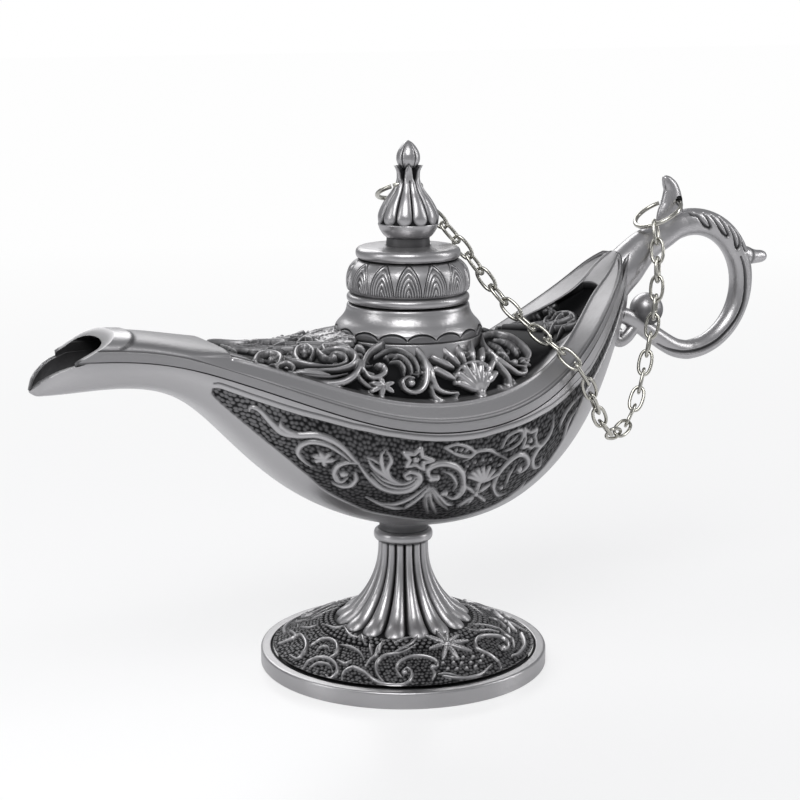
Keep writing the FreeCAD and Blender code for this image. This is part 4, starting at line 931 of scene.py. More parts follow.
# Scrolls of the cone in pixels of an enlarged part
FOOT_CORNER, FOOT_SCALE = (270, 520), 5.227
FOOT_FLOWER = (925, 645)
FOOT_SCROLLS = [
    ([(375, 835), (382, 795), (430, 767), (492, 790), (540, 830), (600, 856), (680, 862), (730, 838),
      (742, 795), (718, 770), (690, 790)], 0.36, 0.8),
    ([(685, 815), (660, 775), (680, 738), (740, 710), (812, 710), (868, 732), (876, 760), (848, 772)],
      0.36, 0.8),
    ([(848, 775), (862, 800), (850, 832)], 0.3, 0.7),
    ([(600, 850), (560, 800), (558, 745), (605, 705), (690, 690), (760, 650)], 0.34, 0.8),
    ([(625, 705), (690, 668), (740, 640), (775, 600)], 0.4, 0.7),
    ([(650, 640), (690, 620), (735, 610)], 0.34, 0.7),
    ([(498, 760), (520, 730), (550, 705), (565, 660), (600, 625)], 0.3, 0.7),
    ([(520, 645), (532, 700)], 0.34, 0.7),
    ([(565, 690), (590, 625)], 0.3, 0.7),
    ([(480, 595), (495, 645)], 0.34, 0.7),
    ([(170, 775), (200, 735), (260, 715), (315, 727), (348, 762), (345, 800), (312, 825), (290, 808)],
      0.34, 0.8),
    ([(205, 765), (255, 742), (310, 755), (325, 785)], 0.24, 0.6),
    ([(350, 728), (390, 748), (425, 730)], 0.3, 0.7),
    ([(78, 560), (92, 540), (180, 522), (265, 500), (335, 472), (385, 462)], 0.32, 0.7),
    ([(60, 575), (110, 580), (135, 605), (120, 625)], 0.3, 0.7),
    ([(40, 645), (100, 622), (158, 598), (188, 640), (180, 685), (140, 722), (100, 702)], 0.34, 0.8),
    ([(215, 650), (275, 618), (332, 628), (352, 662), (340, 700), (305, 718)], 0.34, 0.8),
    ([(235, 690), (265, 660), (300, 660), (310, 680)], 0.26, 0.6),
    ([(388, 555), (420, 600), (470, 612)], 0.3, 0.7),
    ([(370, 650), (420, 660), (470, 690), (490, 720)], 0.3, 0.7),
    ([(275, 540), (345, 562), (400, 545)], 0.3, 0.7),
    ([(130, 545), (190, 560), (240, 545)], 0.26, 0.6),
    ([(905, 810), (970, 822), (1050, 820), (1110, 800), (1160, 752)], 0.34, 0.75),
    ([(880, 800), (930, 800), (990, 812)], 0.24, 0.6),
    ([(1210, 772), (1195, 735), (1150, 700), (1090, 672), (1075, 640), (1090, 610), (1140, 600),
      (1200, 606), (1240, 630), (1248, 660), (1222, 675), (1200, 655)], 0.34, 0.8),
    ([(1265, 705), (1305, 690), (1332, 650), (1320, 602), (1290, 562), (1250, 555), (1255, 585)], 0.36,
      0.8),
    ([(1200, 560), (1230, 590), (1270, 620), (1280, 660)], 0.26, 0.6),
    ([(1020, 562), (1080, 575), (1140, 570), (1200, 580)], 0.26, 0.6),
    ([(1040, 540), (1120, 545), (1200, 560)], 0.24, 0.6),
    ([(1110, 500), (1180, 505), (1230, 520)], 0.3, 0.7),
    ([(1040, 470), (1110, 480), (1160, 500)], 0.26, 0.6),
    ([(925, 645)], 0.7, 1.1),
    ([(703, 795)], 0.55, 0.9),
    ([(852, 765)], 0.55, 0.9),
    ([(1225, 665)], 0.5, 0.9),
]
FOOT_PETALS = [(925, 588), (868, 575), (812, 600), (838, 668), (905, 722), (985, 722), (1052, 682),
    (1035, 628), (985, 600)]
FOOT_BERRIES = [(905, 745), (930, 775), (960, 742), (978, 775), (1002, 745), (1028, 772), (1050, 742),
    (1075, 762), (1100, 735), (1112, 708), (1062, 712), (1010, 715), (955, 715)]


def foot_relief(tree):
    """The scrolls, the flower and the berries of the cone."""
    relief = Relief()
    foot = Pencil(tree, relief, FOOT_CORNER, FOOT_SCALE)
    foot.strokes(FOOT_SCROLLS, (0.45, 0.45), per=5)
    for tip in FOOT_PETALS:
        foot.line([FOOT_FLOWER, halfway(FOOT_FLOWER, tip), tip], 0.46, 0.85, (0.4, 0.5), True, 4)
    for point in FOOT_BERRIES:
        foot.dot(point, 0.36, 0.75)
    return relief


def foot_cone():
    """The scrolled cone and its tone; its far half repeats the near one, turned by half a circle."""
    cone_r = np.linspace(CONE_R, CONE_TOP_R, 230)
    share = (CONE_R - cone_r) / (CONE_R - FLARE_R)
    cone_z = CONE_EDGE_Z + share * (FLARE_Z - 3.5) + 0.5 * np.sin(np.minimum(1, share) * math.pi)
    cone, phi = turned(cone_r, cone_z, FOOT_COLUMNS)
    relief = foot_relief(surface_tree(cone[::3, ::6], True))
    far = cone[:, :, 0] * math.sin(VIEW_TURN) + cone[:, :, 1] * math.cos(VIEW_TURN) > 0
    shown = cone.copy()
    shown[far, :2] *= -1
    scrolls = relief.height(shown)
    reach = np.hypot(cone[:, :, 0], cone[:, :, 1])
    beads = np.zeros_like(reach)
    for ring, shift in BEAD_RINGS:
        across = lobes(phi, BEADS, shift) * math.pi * ring / BEADS
        bead = np.clip(1 - (across ** 2 + (reach - ring) ** 2) / BEAD_R ** 2, 0, 1)
        beads = np.maximum(beads, np.sqrt(bead))
    near_stem = smoothstep((BEADS_OUT_R - reach) / 0.5)
    ground = np.maximum(pebbles(phi * 17.2, reach, 0.62, 21) * 0.9 * (1 - near_stem), beads * near_stem)
    carved = np.where(scrolls > 0, scrolls * 0.85 + 0.05, 0)
    rise = -0.45 + np.maximum(0.22 * ground + 0.3 * beads * near_stem, carved)
    rise *= smoothstep((CONE_R - reach) / 0.3)
    # Painted highlight on the scrolls, lighter with their height, and painted shade on the pebbled ground,
    # besides patina and wear
    tone = np.clip(np.where(scrolls > 0.05, 0.30 + scrolls, 0.04 + 0.5 * ground ** 2.2), 0, 1)
    out = np.stack([cone[:, :, 0] / reach * 0.45, cone[:, :, 1] / reach * 0.45, np.full_like(reach, 0.9)], 2)
    return cone + out * rise[:, :, None], tone


def foot_stem():
    """The waisted stem with its ribs, which end in round tongues on the cone, and its tone."""
    corners = [(WAIST_R, STEM_TOP)]
    for z in np.linspace(WAIST_Z, FLARE_Z + 1.0, 9):
        corners.append((WAIST_R + STEM_CURVE - math.sqrt(STEM_CURVE ** 2 - (WAIST_Z - z) ** 2), z))
    stem, r, z, phi = spun(corners + [(11.0, 8.45), (12.1, 7.95), (12.9, 7.45)], 0.09, STEM_COLUMNS)
    length = np.concatenate([[0], np.cumsum(np.hypot(np.diff(r), np.diff(z)))])
    left = (length[-1] - 0.35 - length)[:, None]
    tongue = np.clip(1 - left / 2.6, 0, 1.5)
    lobe = np.sqrt(np.clip(1 - (lobes(phi, RIBS, 0.12) * 1.06) ** 2 - tongue ** 2, 0, 1))
    slope = np.stack([np.gradient(r), np.gradient(z)], 1)
    slope /= np.linalg.norm(slope, axis=1, keepdims=True)
    deep = np.minimum(0.21 * r, 1.35)[:, None] * (1 - lobe) - 0.12 * lobe
    pushed(stem, (r[:, None] + deep * slope[:, 1:]) / r[:, None])
    stem[:, :, 2] += -deep * slope[:, :1]
    # Painted highlight on the ribs and painted shade in their valleys, besides patina, and painted shade at
    # the stem's top under the moulding
    return stem, np.clip(0.03 + lobe * 1.15, 0, 1) * smoothstep(21.9 - stem[:, :, 2] + 0.25)


def foot_sheet():
    """Rim, cone, stem, top and hollow underside."""
    foot = Sheet()
    edge, r, z, _ = spun(FOOT_EDGE, 0.1, FOOT_COLUMNS, smooth=False)
    # Painted shade: the groove beside the cone is dark, also patina, and the rim's outer wall is a little
    # darker than its top
    edge_tone = np.where((z < WALL_TOP) & (r > WALL_R), 0.9, np.where(r < GROOVE_R, 0.15, 1.0))
    foot.add(edge, edge_tone[:, None], True)
    foot.add(*foot_cone(), True)
    foot.add(*foot_stem(), True)
    foot.add(spun(FOOT_TOP, 0.5, HOLLOW_COLUMNS, smooth=False)[0], 0.1, True)
    foot.add(spun(FOOT_HOLLOW, 0.4, HOLLOW_COLUMNS, smooth=False)[0], 0.45, True)
    return foot


# Moulding and neck under the bowl

MOULDING = [(3.0, 21.76), (4.35, 21.78), (4.95, 22.1), (5.12, 22.75), (4.95, 23.4), (4.45, 23.75)]
NECK = [(4.45, 23.75), (4.2, 23.95), (4.15, 24.6), (4.3, 25.6), (4.6, 27.0)]


def add_moulding(bowl):
    """The moulding over the stem and the short neck above it, both cast with the bowl."""
    grid, _, z, _ = spun(MOULDING, 0.05, PLAIN_COLUMNS)
    # Painted shade where the moulding sits on the stem
    bowl.add(grid, np.clip((z - STEM_TOP) / 0.5, 0.1, 1)[:, None], True)
    grid, r, _, _ = spun(NECK, 0.06, PLAIN_COLUMNS)
    # Painted shade: the neck is darker where it is thinnest, under the bowl
    bowl.add(grid, np.clip(0.25 + (r - 4.15) * 1.5, 0, 0.7)[:, None], True)


# Collar of the neck, with a hem of scallops

COLLAR_OUTLINE = [(10.05, 63.3), (10.3, 63.2), (10.42, 62.9), (10.5, 62.4), (10.75, 61.7), (11.2, 61.0),
    (11.8, 60.35), (12.2, 59.85), (12.4, 59.5), (12.45, 58.9), (12.45, 58.2), (12.5, 57.6), (12.6, 57.0),
    (12.7, 56.2), (12.8, 55.2), (12.85, 54.4)]
COLLAR_BORE = [(9.6, 56.0), (8.2, 56.0), (8.2, 63.05), (8.4, 63.3), (10.05, 63.3)]
SCALLOP_Z, HEM_Z, HEM_LINE_Z, SKIRT_Z = 58.35, 58.3, 58.25, 56.2


def collar_sheet():
    """The collar with its scallops, and its bore."""
    ring, r, _, phi = spun(COLLAR_OUTLINE, 0.05, COLLAR_COLUMNS, NECK_X)
    z = ring[:, :, 2]
    gap = z - (SCALLOP_Z + 1.35 * np.sqrt(np.clip(1 - lobes(phi, SCALLOPS, 0.3) ** 2, 0, 1)))
    line = ridge(gap, 0.14) * (z > 58.2)
    base_line = ridge(z - HEM_LINE_Z, 0.13)
    swell = 0.10 * smoothstep(-gap / 0.3) * (z > HEM_Z) - 0.28 * line - 0.22 * base_line
    pushed(ring, 1 + swell / np.maximum(r[:, None], 1), NECK_X)
    # The scallops' outlines and the hem line are dark, patina and painted shade
    tone = np.where((gap < 0) & (z > HEM_Z), 0.5, 1.0) * (1 - 0.85 * line) * (1 - 0.7 * base_line)
    collar = Sheet()
    # Painted shade: the skirt is darker towards its foot, where it meets the cover
    collar.add(ring, tone * np.where(z < SKIRT_Z, np.clip((z - 54.6) / 1.6, 0.15, 1), 1), True)
    bore, _, z, _ = spun(COLLAR_BORE, 0.25, PLAIN_COLUMNS, NECK_X, smooth=False)
    collar.add(bore, np.where(z > 63.2, 0.7, 0.25)[:, None], True)
    return collar


# Lid: a drum with engraved petals, a disc on top and a plug below

LID_OUTLINE = [(9.8, 0.02), (10.15, 0.1), (10.38, 0.45), (10.38, 0.95), (10.15, 1.28), (9.85, 1.48),
    (9.82, 1.62), (10.0, 1.85), (10.3, 2.1), (10.45, 2.6), (10.5, 3.3), (10.46, 4.1), (10.3, 4.9),
    (10.0, 5.7), (9.55, 6.3), (9.0, 6.8), (8.5, 7.05), (8.1, 7.15), (8.02, 7.24), (8.25, 7.3),
    (8.55, 7.4), (8.8, 7.75), (8.86, 8.2), (8.78, 8.65), (8.5, 9.0), (8.0, 9.18), (6.4, 9.3), (4.4, 9.36),
    (3.2, 9.38)]
LID_PLUG = [(9.8, 0.02), (7.9, 0), (7.9, -5.2), (6.75, -5.2), (6.75, 8.1), (1.3, 8.1)]
PETAL_SHIFT = 0.5 + PETALS * 118.0 / 360
PETAL_LOW, PETAL_HEIGHT, DRUM_R = 1.95, 5.0, 10.3
BARE_BELOW, BARE_ABOVE, LOW_GROOVE_Z, HIGH_GROOVE_Z = 1.9, 7.0, 1.56, 7.2


def lid_sheet():
    """The drum with its petals and grooves, and the plug."""
    drum, r, z, phi = spun(LID_OUTLINE, FINE_STEP, LID_COLUMNS, NECK_X, LID_Z)
    up = (drum[:, :, 2] - LID_Z - PETAL_LOW) / PETAL_HEIGHT
    petal = (np.abs(lobes(phi, PETALS, PETAL_SHIFT)) / 0.88) ** 1.6 + np.clip(up, 0, 2) ** 1.9
    inside = (petal < 1) & (up > 0)
    wave = 0.5 + 0.5 * np.cos(ROUND * (4.6 * np.clip(petal, 0, 1) ** 0.62 - 4.6))
    depth = np.where(inside, -0.18 * (1 - wave), 0) - 0.24 * ridge(petal - 1.07, 0.06) * (up > 0) * (up < 1.1)
    pushed(drum, 1 + depth / DRUM_R, NECK_X)
    # The petals' cut lines and outlines are dark, patina and painted shade; their faces are light, painted
    # highlight
    tone = np.where(inside, 0.34 + 0.9 * wave, 0.85 - 0.7 * ridge(petal - 1.07, 0.07) * (up > 0) * (up < 1.1))
    tone = np.where(((z < BARE_BELOW) | (z > BARE_ABOVE))[:, None], 1.0, tone)
    # The two grooves are dark, patina and painted shade
    groove = ridge(z - LOW_GROOVE_Z, 0.16) + ridge(z - HIGH_GROOVE_Z, 0.16)
    tone = tone * (1 - 0.88 * np.clip(groove, 0, 1))[:, None]
    lid = Sheet()
    # Painted shade: the top is darker round the finial's foot
    lid.add(drum, tone * np.clip((r - 3.4) / 0.8, 0.2, 1)[:, None], True)
    lid.add(spun(LID_PLUG, 0.3, PLAIN_COLUMNS, NECK_X, LID_Z, False)[0], 0.45, True)
    return lid


# Finial: a ribbed bulb under a collar of leaves, and a bud

# Height and radius as shares of the finial's own
FINIAL_OUTLINE = [(0, 0.715), (0.03, 0.71), (0.06, 0.7), (0.08, 0.705), (0.092, 0.76), (0.12, 0.845),
    (0.16, 0.925), (0.21, 0.98), (0.26, 1.0), (0.31, 0.98), (0.38, 0.88), (0.45, 0.735), (0.52, 0.555),
    (0.57, 0.455), (0.62, 0.395), (0.67, 0.385), (0.71, 0.4), (0.745, 0.45), (0.77, 0.5)]
BUD_OUTLINE = [(.70, .16), (.74, .26), (.77, .33), (.80, .37), (.83, .385), (.87, .37), (.91, .315),
               (.95, .225), (.98, .125), (1.0, .015)]
# Depth of the valleys between the ribs and half width of the leaves, up the finial's height
VALLEY_AT = [0.20, 0.24, 0.34, 0.48, 0.56, 0.64, 0.70, 0.765]
VALLEY_DEPTH = [0, 0.05, 0.14, 0.22, 0.26, 0.3, 0.42, 0.5]
LEAF_AT = [0.57, 0.62, 0.68, 0.73, 0.757, 0.77]
LEAF_WIDTH = [1.05, 0.80, 0.66, 0.50, 0.30, 0.0]
FLANGE_TOP, LEAVES_FROM = 0.21, 0.60


def finial_part(outline, columns):
    """A turned grid, the share of the finial's height of each place, and the angles."""
    corners = [(radius * FIN_R, height * FIN_H) for height, radius in outline]
    grid, _, z, phi = spun(corners, FINE_STEP, columns, NECK_X, FIN_Z)
    return grid, np.broadcast_to((z / FIN_H)[:, None], phi.shape), phi


def finial_sheet():
    """The ribbed bulb with its leaves, and the bud."""
    body, share, phi = finial_part(FINIAL_OUTLINE, BULB_COLUMNS)
    tongue = np.clip((0.285 - share) / 0.075, 0, 2)
    lobe = np.sqrt(np.clip(1 - (lobes(phi, FIN_RIBS, 0.35) * 1.04) ** 2 - tongue ** 2, 0, 1))
    valley = np.interp(share, VALLEY_AT, VALLEY_DEPTH)
    push = 1 - valley * (1 - lobe ** 0.8) * (share >= FLANGE_TOP)
    leaf_width = np.interp(share, LEAF_AT, LEAF_WIDTH)
    across = lobes(phi, LEAVES, 0.1)
    between = (share > LEAVES_FROM) & (np.abs(across) >= leaf_width)
    across = across / np.maximum(leaf_width, 0.1)
    high = smoothstep((share - LEAVES_FROM) / 0.05)
    push = push * (1 - high) + (1 - 0.14 * across ** 2) * high
    push = np.where(between, 0.55 - 2.2 * np.clip(share - 0.68, 0, 1), push)
    pushed(body, push, NECK_X)
    # Painted highlight on the ribs and painted shade in their valleys, besides patina; the leaves are lighter
    # in the middle and darker at their sides, painted shade
    tone = np.where(share < 0.215, 1.0, np.clip(0.02 + lobe * 1.2, 0, 1))
    tone = tone * (1 - high) + high * np.clip(1.1 - across ** 4, 0, 1)
    finial = Sheet()
    # Painted shade: the gaps between the leaves are near black and the foot on the lid is darker
    finial.add(body, np.where(between, 0.03, tone) * np.where(share < 0.085, 0.3, 1), True)

    bud, share, phi = finial_part(BUD_OUTLINE, BUD_COLUMNS)
    across = lobes(phi, LEAVES, 0.1)
    cut = ridge(1 - np.abs(across), 0.09)
    pushed(bud, 1 - 0.13 * cut - 0.03 * across ** 2, NECK_X)
    # The bud's cuts are dark, patina and painted shade; its foot among the leaves is darker, painted shade
    bud_tone = (1 - 0.85 * cut) * np.clip((share - 0.73) / 0.05, 0.05, 1)
    finial.add(bud, np.clip(bud_tone, 0, 1), True)
    return finial


# Handle: loop, hook, knob, curl and spur; the horn that carries it is cast with the bowl

# Places as shares of the loop's radius from its middle, and thickness as a share of the named one
LOOP_TAIL = [(-.235, -.950, .670), (-.430, -.850, .660), (-.706, -.672, .640), (-.958, -.504, .615),
             (-1.160, -.387, .590), (-1.290, -.345, .560)]
HORN_PATH = [(-1.50, -.10, .55), (-1.40, .10, .70), (-1.244, .35, .86), (-.995, .588, .765),
             (-.800, .723, .680), (-.574, .819, .63), (-.34, .94, .605), (-.12, .99, .58)]
CURL_PATH = [(-.930, -.500, .90), (-1.040, -.570, .95), (-1.160, -.690, 1), (-1.280, -.750, .95),
             (-1.360, -.700, .80), (-1.340, -.610, .65), (-1.265, -.600, .45)]
# Places and width as shares of the hook's width, and a share of its thickness
HOOK_PATH = [(-.18, -1.11, .80, .90), (-.22, -.57, 1, 1), (-.15, -.07, .82, 1), (-.19, .36, .58, .90),
             (-.33, .60, .42, .74), (-.43, .72, .27, .52), (-.49, .78, .13, .3), (-.505, .795, .03, .1)]
# Distance along the spur, rise and radius
SPUR_PATH = [(0, -0.2, 1.95), (2.0, -0.45, 1.85), (3.2, -0.7, 1.5), (4.4, -0.92, 1.28), (5.6, -1.05, 1.16),
             (6.3, -1.1, 0.95), (6.7, -1.12, 0.6), (6.85, -1.12, 0.06)]
SPUR_LENGTH, SPUR_NECK = 6.9, 2.7
SPUR_ROOT_TURN, SPUR_TILT = math.radians(25), math.radians(5)
LOOP_START, LOOP_END, LOOP_STOPS = 122, -92, 32
LOOP_SIDES, HOOK_SIDES, THIN_SIDES = 96, 120, 48
# Grooves of loop and horn in pixels of an enlarged part
HANDLE_CORNER, HANDLE_SCALE = (590, 190), 7.467
LOOP_GROOVES = [
    ([(500, 1150), (560, 1182), (640, 1205), (720, 1212), (830, 1190), (940, 1135), (1040, 1040),
      (1110, 940), (1150, 830), (1163, 700), (1155, 580), (1130, 500)], 0.5),
    ([(760, 160), (810, 200), (850, 255), (880, 285), (905, 280), (885, 225), (850, 175)], 0.36),
    ([(905, 190), (950, 250), (985, 310), (1015, 345), (1035, 335), (1010, 275), (965, 205)], 0.36),
    ([(1040, 270), (1075, 340), (1090, 410), (1100, 440), (1118, 420), (1115, 360), (1085, 290)], 0.36),
    ([(1135, 340), (1140, 400), (1160, 450), (1190, 480)], 0.3),
    ([(690, 185), (740, 175), (790, 190)], 0.4),
]
HORN_GROOVES = [
    ([(10, 560), (60, 540), (110, 500), (150, 490), (190, 530), (222, 570), (235, 640), (225, 720)],
      0.34),
    ([(60, 575), (100, 600), (125, 660), (130, 740)], 0.42),
]


def swept(path, sides, flats=1.0):
    """Rings of points square to a path of X, Z and radius; flats gives their depth as a share of it."""
    centres, radii = path[:, :2], path[:, 2][:, None]
    heading = np.gradient(centres, axis=0)
    heading /= np.linalg.norm(heading, axis=1, keepdims=True)
    side = np.stack([-heading[:, 1], heading[:, 0]], 1)
    a = np.linspace(0, ROUND, sides, endpoint=False)
    x = centres[:, :1] + side[:, :1] * radii * np.cos(a)
    z = centres[:, 1:] + side[:, 1:] * radii * np.cos(a)
    return np.stack([x, radii * flats * np.sin(a), z], 2)


def even(rows, step):
    """Rows of numbers whose first two are a place, evenly spaced along their smooth path."""
    p = rounded(rows, 12)
    s = np.concatenate([[0], np.cumsum(np.hypot(*np.diff(p[:, :2], axis=0).T))])
    t = np.linspace(0, s[-1], max(3, int(s[-1] / step)))
    return np.stack([np.interp(t, s, p[:, k]) for k in range(p.shape[1])], 1)


def on_loop(rows, thickness):
    """Places and radii in millimetres from rows of shares."""
    return [(LOOP_X + a * LOOP_R, LOOP_Z + b * LOOP_R, w * thickness) for a, b, w in rows]


def grooved(grid, lines, depth):
    """The grid with grooves cut along lines, and its tone."""
    cuts = Relief()
    pencil = Pencil(surface_tree(grid[::2, ::2], True), cuts, HANDLE_CORNER, HANDLE_SCALE)
    for points, width in lines:
        pencil.line(points, width, 1.0, (0.5, 0.5), per=5)
    cut = cuts.height(near_side(grid))
    # The grooves are darkened with patina and painted shade
    return grid - outward_normals(grid, True) * (cut * depth)[:, :, None], 1 - 0.85 * cut


def add_loop(handle):
    """The finger loop with its tail, grooved along its sides."""
    path = []
    for i, a in enumerate(np.radians(np.linspace(LOOP_START, LOOP_END, LOOP_STOPS))):
        radius = LOOP_TUBE * (1 - 0.32 * i / (LOOP_STOPS - 1)) - 0.25 * max(0, 1 - i / 4)
        path.append((LOOP_X + LOOP_R * math.cos(a), LOOP_Z + LOOP_R * math.sin(a), radius))
    path = even(path + on_loop(LOOP_TAIL, LOOP_TUBE), 0.16)
    grid, tone = grooved(swept(path, LOOP_SIDES), LOOP_GROOVES, 0.42)
    handle.add(grid, tone, True)
    handle.cap(grid[-1])
    handle.cap(grid[0])


def add_hook(handle):
    """The hook's blade; the points beside its hole are moved onto the hole's edge."""
    path = even([(HOOK_X + a * HOOK_W, HOOK_Z + b * HOOK_W, w * HOOK_W / 2, t * HOOK_T / 2)
                 for a, b, w, t in HOOK_PATH], 0.1)
    hook = swept(path, HOOK_SIDES, path[:, 3:] / path[:, 2:3])
    off_x, off_z = hook[:, :, 0] - HOOK_X, hook[:, :, 2] - HOOK_Z
    reach = np.hypot(off_x, off_z)
    to_edge = np.where(np.abs(reach - HOLE_R) < 0.07, HOLE_R / reach, 1.0)
    hook[:, :, 0] = HOOK_X + off_x * to_edge
    hook[:, :, 2] = HOOK_Z + off_z * to_edge

    def in_hole(faces, middles):
        """Picks the faces over the hole."""
        return np.hypot(middles[:, 0] - HOOK_X, middles[:, 2] - HOOK_Z) <= HOLE_R

    handle.add(hook, 1.0, True, gone=in_hole)
    handle.cap(hook[-1])
    # The hole's wall, dark with painted shade
    a = np.linspace(0, ROUND, 48, endpoint=False)
    x, z = HOOK_X + HOLE_R * np.cos(a), HOOK_Z + HOLE_R * np.sin(a)
    blade = 1.3 * np.sqrt(np.clip(1 - ((x - HOOK_X + 0.15 * HOOK_W) / 2.3) ** 2, 0, 1))
    y = np.clip(np.linspace(-1.4, 1.4, 15)[:, None], -blade, blade)
    handle.add(np.stack(np.broadcast_arrays(x, y, z), 2), 0.12, True)


def add_knob(handle):
    """The round knob between loop and bowl."""
    u = np.linspace(0.02, math.pi - 0.02, 60)
    v = np.linspace(0, ROUND, 90, endpoint=False)
    knob = np.stack([LOOP_X - 0.8 * LOOP_R + KNOB_R * np.outer(np.sin(u), np.cos(v)),
                     KNOB_R * np.outer(np.sin(u), np.sin(v)),
                     LOOP_Z - 0.3 * LOOP_R + KNOB_R * np.outer(np.cos(u), np.ones(90))], 2)
    # Painted light: the knob is lighter on top and darker underneath
    handle.add(knob, np.clip(0.55 + 0.6 * np.cos(u)[:, None], 0.3, 1), True)


def add_curl(handle):
    """The small curl under the knob."""
    curl = swept(even(on_loop(CURL_PATH, CURL_R), 0.12), THIN_SIDES)
    handle.add(curl, 0.9, True)
    handle.cap(curl[-1])


def add_spur(handle):
    """The spur behind the loop, with a dark line round its neck."""
    root = np.array([LOOP_X + LOOP_R * math.cos(SPUR_ROOT_TURN), LOOP_Z + LOOP_R * math.sin(SPUR_ROOT_TURN)])
    way = np.array([math.cos(SPUR_TILT), math.sin(SPUR_TILT)])
    path = even([(*(root + way * along + np.array([0, rise])), r) for along, rise, r in SPUR_PATH], 0.1)
    along = np.linspace(0, SPUR_LENGTH, len(path))
    tone = np.clip(1 - 0.5 * ridge(along - SPUR_NECK, 0.5), 0, 1)
    handle.add(swept(path, THIN_SIDES), tone[:, None], True)


def handle_sheet():
    """All parts of the handle."""
    handle = Sheet()
    for add_part in (add_loop, add_hook, add_knob, add_curl, add_spur):
        add_part(handle)
    return handle


def add_horn(bowl):
    """The horn that carries the handle, with its grooves."""
    horn = swept(even(on_loop(HORN_PATH, HORN_ROOT), 0.16), LOOP_SIDES)
    grid, tone = grooved(horn, HORN_GROOVES, 0.35)
    bowl.add(grid, tone, True)


# Rings and chain


def ring_piece(name, centre, x_way, y_way, radius):
    """A jump ring of round wire with a fine split where x_way points."""
    x = x_way / np.linalg.norm(x_way)
    z = np.cross(x, y_way)
    z /= np.linalg.norm(z)
    y = np.cross(z, x)
    a = np.radians(np.linspace(RING_SPLIT / 2, 360 - RING_SPLIT / 2, 160))[:, None]
    b = np.linspace(0, ROUND, 24, endpoint=False)[None, :]
    r = radius + RING_WIRE * np.cos(b)
    grid = (centre + (r * np.cos(a))[:, :, None] * x + (r * np.sin(a))[:, :, None] * y
            + (RING_WIRE * np.sin(b) * np.ones_like(a))[:, :, None] * z)
    sheet = Sheet()
    sheet.add(grid, 1.0, True)
    sheet.cap(grid[0])
    sheet.cap(grid[-1])
    return sheet.build(name)


def link_piece(name, node):
    """A smooth oval link in the place of the plain one, found from the plain one's longest ways."""
    v = np.empty(len(node.data.vertices) * 3)
    node.data.vertices.foreach_get("co", v)
    v = v.reshape(-1, 3) / MM
    middle = (v.min(0) + v.max(0)) / 2
    for _ in range(3):
        axes = np.linalg.eigh(np.cov((v - middle).T))[1]
        local = (v - middle) @ axes
        middle = middle + axes @ ((local.min(0) + local.max(0)) / 2)
    z, y, x = axes[:, 0], axes[:, 1], axes[:, 2]
    a = np.linspace(0, ROUND, 72, endpoint=False)
    c, s = np.cos(a), np.sin(a)
    path = np.stack([(LINK_LENGTH / 2 - LINK_WIRE) * np.sign(c) * np.abs(c) ** 0.86,
                     (LINK_WIDTH / 2 - LINK_WIRE) * np.sign(s) * np.abs(s) ** 0.78], 1)
    way = np.roll(path, -1, 0) - np.roll(path, 1, 0)
    way /= np.linalg.norm(way, axis=1, keepdims=True)
    out = np.stack([way[:, 1], -way[:, 0]], 1)
    b = np.linspace(0, ROUND, 16, endpoint=False)
    flat = path[:, None, :] + out[:, None, :] * (LINK_WIRE * np.cos(b))[None, :, None]
    grid = middle + flat[:, :, :1] * x + flat[:, :, 1:] * y + (LINK_WIRE * np.sin(b))[None, :, None] * z
    sheet = Sheet()
    sheet.add(np.concatenate([grid, grid[:1]]), 1.0, True)
    return sheet.build(name)


def held(link):
    """Bakes the link's place into its points."""
    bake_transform(link)


# Pieces

bowl = bowl_sheet()
cover = cover_sheet()
foot = foot_sheet()
add_moulding(bowl)
collar = collar_sheet()
lid = lid_sheet()
finial = finial_sheet()
handle = handle_sheet()
add_horn(bowl)

way = np.array([0, math.cos(FINIAL_DROOP), -math.sin(FINIAL_DROOP)])
finial_ring = ring_piece("jump_ring_finial", np.array([NECK_X, 0, EYE_Z]) + way * FINIAL_DROP,
                         -way - np.array([1.0, 0, 0]), way, FINIAL_RING_R)
way = np.array([-math.cos(HANDLE_DROOP), 0, -math.sin(HANDLE_DROOP)])
handle_ring = ring_piece("jump_ring_handle", np.array([HOOK_X, 0, HOOK_Z]) + way * HANDLE_RING_R,
                         np.array([0, 1.0, 0]) - way, way, HANDLE_RING_R)
links = [link_piece(f"link_{i:02d}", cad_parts[f"chain_link_{i:02d}"]) for i in range(1, LINKS + 1)]


# Finishes, all procedural


def finish_of(name):
    """A new material, its node tree and its shader."""
    finish = bpy.data.materials.new(name)
    finish.use_nodes = True
    return finish, finish.node_tree, finish.node_tree.nodes["Principled BSDF"]


def add_node(tree, kind, values=None, sockets=None, **settings):
    """A new node with its settings, its fixed input values and the sockets that feed its inputs."""
    node = tree.nodes.new("ShaderNode" + kind)
    for key, value in settings.items():
        setattr(node, key, value)
    for key, value in (values or {}).items():
        node.inputs[key].default_value = value
    for key, socket in (sockets or {}).items():
        tree.links.new(socket, node.inputs[key])
    return node


def set_stops(ramp, *stops):
    """The two ends of a colour ramp and, after them, any stop between."""
    elements = ramp.color_ramp.elements
    for element, (position, colour) in zip(elements, stops[:2]):
        element.position, element.color = position, colour
    for position, colour in stops[2:]:
        elements.new(position).color = colour


